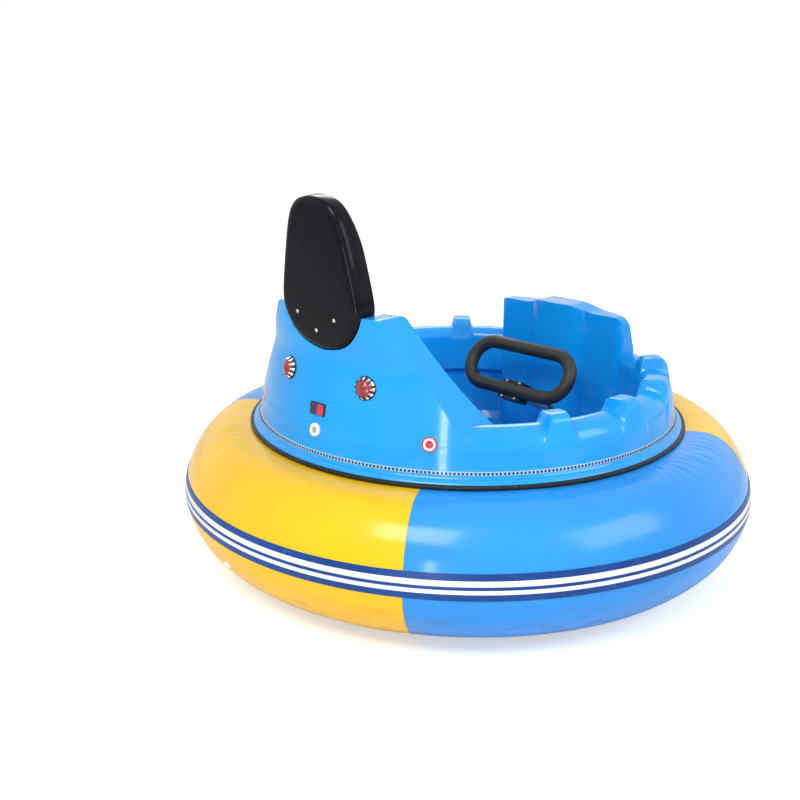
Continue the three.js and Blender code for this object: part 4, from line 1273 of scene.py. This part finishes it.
def blownUp(piece, flat):
    # flat(point) is true where the pad is held: those points stay
    start = [point.co.copy() for point in piece.data.vertices]
    onlyPick(piece)
    held = piece.vertex_groups.new(name="held")
    held.add([i for i, co in enumerate(start) if flat(co)], 1.0, "ADD")
    cloth = piece.modifiers.new("cloth", "CLOTH")
    ways = {
        "use_pressure": True, "uniform_pressure_force": pads["pressure"], "vertex_group_mass": "held",
        "quality": 4, "tension_stiffness": 12, "compression_stiffness": 12}
    for setting, value in ways.items():
        setattr(cloth.settings, setting, value)
    cloth.settings.effector_weights.gravity = 0
    cloth.point_cache.frame_start = 1
    cloth.point_cache.frame_end = pads["frames"]
    for step in range(1, pads["frames"] + 1):
        bpy.context.scene.frame_set(step)
    bpy.ops.object.modifier_apply(modifier=cloth.name)
    bpy.context.scene.frame_set(1)
    for i, point in enumerate(piece.data.vertices):
        moved = point.co - start[i]
        if moved.length > pads["cap"]:
            point.co = start[i] + moved.normalized() * pads["cap"]
    piece.vertex_groups.clear()
    changed(piece, "SMOOTH", factor=0.5, iterations=4)
    changed(piece, "SUBSURF", levels=1, render_levels=1)
    bpy.ops.object.shade_smooth()


def channelled(piece, pull):
    # sewn channels: pull(point) gives how far a point moves towards the stuffing
    for point in piece.data.vertices:
        point.co += pull(point.co)
    piece.data.update()


def channel(offset, wide, deep):
    return -deep * exp(-(offset / wide) ** 2)


low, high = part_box("seat_cushion")
piece = padStart("cushionPad", "seat_cushion", 0.010)
blownUp(piece, lambda co: co.z < low[2] + 0.016)


def pull(co):
    if co.z < low[2] + 0.03:
        return Vector((0, 0, 0))
    inside = min(co.x - low[0], high[0] - co.x, co.y - low[1], high[1] - co.y)
    across = 0.0
    if inside > pads["border"]:
        for x in pads["across"]:
            across += channel(co.x - x, pads["seam"], 0.007)
    return Vector((0, 0, channel(inside - pads["border"], 0.006, 0.008) + across))


channelled(piece, pull)
top = max(point.co.z for point in piece.data.vertices)
over = max(0, top - (high[2] + 0.006))
piece.data.transform(Matrix.Translation((0, 0, -over)))
dressed(piece, "vinyl")
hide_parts("seat_cushion")

piece = padStart("backPad", "seat_back_pad", 0.008)
unlean = leanBack.inverted()
front = seat["thick"] - seat["pocket"] + 0.0003
blownUp(piece, lambda co: (unlean @ co).x < front + 0.018)
normal = leanBack.to_3x3() @ Vector((1, 0, 0))


def pull(co):
    spot = unlean @ co
    deep = -seatTaper(spot.z)
    if spot.x < front + 0.025:
        return normal * deep
    z = spot.z + seat["pivot"]
    for y in (-pads["rails"], pads["rails"]):
        if 0.56 < z < 1.13:
            deep += channel(spot.y - y, pads["seam"], 0.007)
    for height in pads["rungs"]:
        if abs(spot.y) < pads["rails"]:
            deep += channel(z - height, pads["seam"], 0.006)
    return normal * deep


channelled(piece, pull)
dressed(piece, "vinyl")
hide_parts("seat_back_pad")
print("pads made")

# plinth under the cushion and the pedal

plinth = rounded(block("plinthBox", *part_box("seat_plinth")), 0.014, 4, 40)
dressed(plinth, "tub")
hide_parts("seat_plinth")

pedal = {"ribs": 9, "thick": 0.0035}

low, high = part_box("foot_pedal")
tall = high[2] - low[2]
side = [(low[0], low[2]), (high[0], low[2]), (high[0], low[2] + tall * 0.9), (high[0] - 0.012, high[2] - 0.004),
        (low[0], low[2] + 0.011)]
piece = drawnOut("pedalBody", [(x, low[1], z) for x, z in side], (0, high[1] - low[1], 0))
rounded(piece, 0.004, 3, 30)
dressed(piece, "black")
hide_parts("foot_pedal")
slope = atan2(side[3][1] - side[4][1], side[3][0] - side[4][0])
ribs = []
for i in range(pedal["ribs"]):
    share = (i + 0.7) / (pedal["ribs"] + 0.4)
    x = side[4][0] + (side[3][0] - side[4][0]) * share
    z = side[4][1] + (side[3][1] - side[4][1]) * share
    rib = bar("pedalRib", (0.0055, (high[1] - low[1]) * 0.86, pedal["thick"]), 0.0012)
    spot = Matrix.Translation((x, (low[1] + high[1]) / 2, z)) @ Matrix.Rotation(-slope, 4, "Y")
    rib.data.transform(spot)
    ribs.append(rib)
piece = joined("pedalRibs", *ribs)
dressed(piece, "trim")

# wheels: ribbed tread and a hub with its bolts

wheels = {
    "front": (0.4, 0.0), "rear_left": (-0.3, 0.33), "rear_right": (-0.3, -0.33),
    "radius": 0.090, "half": 0.025, "rim": 0.058, "grooves": (-0.0125, 0.0, 0.0125), "bolts": 5, "boltCircle": 0.041,
}


def makeWheel(node):
    spot = Matrix.Translation((*wheels[node], wheels["radius"])) @ Matrix.Rotation(-pi / 2, 4, "X")
    r, half, rim = wheels["radius"], wheels["half"], wheels["rim"]
    wall = [(rim + 0.0003, half - 0.001), (r - 0.016, half), (r - 0.006, half - 0.002), (r - 0.0015, half - 0.0055)]
    wall.append((r, half - 0.008))
    profile = [(radius, -side) for radius, side in wall]
    for groove in wheels["grooves"]:
        profile += [(r, groove - 0.0022), (r - 0.0030, groove - 0.0014)]
        profile += [(r - 0.0030, groove + 0.0014), (r, groove + 0.0022)]
    tread = spun("tread_" + node, profile + wall[::-1], 96, spot)
    dressed(tread, "tyre", body=node + "_wheel")
    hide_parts(node + "_tyre")
    bolts = []
    head = [(0, -0.004), (0.0058, -0.004), (0.0058, 0.0035), (0.0050, 0.0045), (0.0030, 0.0045), (0, 0.0045)]
    for i in range(wheels["bolts"]):
        for sign in (1, -1):
            turn = Matrix.Translation(polar(2 * pi * i / wheels["bolts"], wheels["boltCircle"], sign * 0.020))
            if sign < 0:
                turn = turn @ Matrix.Rotation(pi, 4, "X")
            bolts.append(spun("hubBolt", head, 6, spot @ turn, 10))
    piece = joined("hubBolts_" + node, *bolts)
    dressed(piece, "zinc", body=node + "_wheel")


for node in ("front", "rear_left", "rear_right"):
    makeWheel(node)
print("wheels made")

# what stays as built gets its own finish
kept = {
    "tub": ("cockpit_wall",), "tubFloor": ("cockpit_floor",),
    "steel": ("chassis_plate", "frame_rail_left", "frame_rail_right", "frame_cross_front", "frame_cross_rear",
              "battery_cradle", "axle_hanger_left", "axle_hanger_right", "swivel_housing", "steered_fork"),
    "zinc": ("rear_axle", "front_axle", "steering_column", "rear_left_hub", "rear_right_hub", "front_hub"),
    "battery": ("battery_block",),
}
for finish, nodes in kept.items():
    for node in nodes:
        for place in bpy.data.objects[node].material_slots:
            place.material = finishes[finish]

# floor, backdrop light and lamps

light = {"sky": 0.62, "key": 100, "fill": 55, "rim": 45, "edge": 15}

world = bpy.data.worlds.new("studio")
bpy.context.scene.world = world
world.use_nodes = True
nodes, links = world.node_tree.nodes, world.node_tree.links
plain = nodes["Background"]
plain.inputs["Color"].default_value = (1, 1, 1, 1)
plain.inputs["Strength"].default_value = light["sky"]
seen = nodes.new("ShaderNodeBackground")
seen.inputs["Color"].default_value = (1, 1, 1, 1)
rays = nodes.new("ShaderNodeLightPath")
share = rays.outputs["Is Camera Ray"]
for other in ("Is Transmission Ray", "Is Glossy Ray"):
    either = nodes.new("ShaderNodeMath")
    either.operation = "MAXIMUM"
    links.new(share, either.inputs[0])
    links.new(rays.outputs[other], either.inputs[1])
    share = either.outputs[0]
mix = nodes.new("ShaderNodeMixShader")
for i, wire in enumerate((share, plain.outputs[0], seen.outputs[0])):
    links.new(wire, mix.inputs[i])
links.new(mix.outputs[0], nodes["World Output"].inputs["Surface"])


def softLamp(name, place, aim, size, power):
    data = bpy.data.lights.new(name, "AREA")
    data.shape = "RECTANGLE"
    data.size, data.size_y = size
    data.energy = power
    lamp = bpy.data.objects.new(name, data)
    lamp.location = place
    lamp.rotation_euler = (Vector(aim) - Vector(place)).to_track_quat("-Z", "Y").to_euler()
    bpy.context.scene.collection.objects.link(lamp)


floor = started("floor", bpy.ops.mesh.primitive_plane_add, size=160)
finish = Finish("paleFloor", (0.92, 0.92, 0.93), 0.9)
grain = finish.cloud(3, 4)
finish.feed("Base Color", finish.tinted(grain, (0.90, 0.90, 0.91), (0.94, 0.94, 0.94)))
rays = finish.add("ShaderNodeLightPath", {}, {}, "Is Camera Ray")
finish.feed("Emission Color", finish.tinted(rays, (0, 0, 0), (0.50, 0.50, 0.50)))
finish.shader.inputs["Emission Strength"].default_value = 1
floor.data.materials.append(finish.material)

softLamp("key", (-3.2, -1.2, 3.6), (0, 0, 0.4), (2.2, 1.6), light["key"])
softLamp("fill", (0.8, -4.0, 2.6), (0, 0, 0.4), (2.6, 1.8), light["fill"])
softLamp("edge", (-2.92, -1.74, 0.45), (-0.66, -0.1, 0.95), (0.2, 1.6), light["edge"])
softLamp("rim", (2.8, 2.6, 3.2), (0, 0, 0.5), (2.4, 1.6), light["rim"])
bpy.context.scene.view_settings.view_transform = "Standard"
print("stage lit")
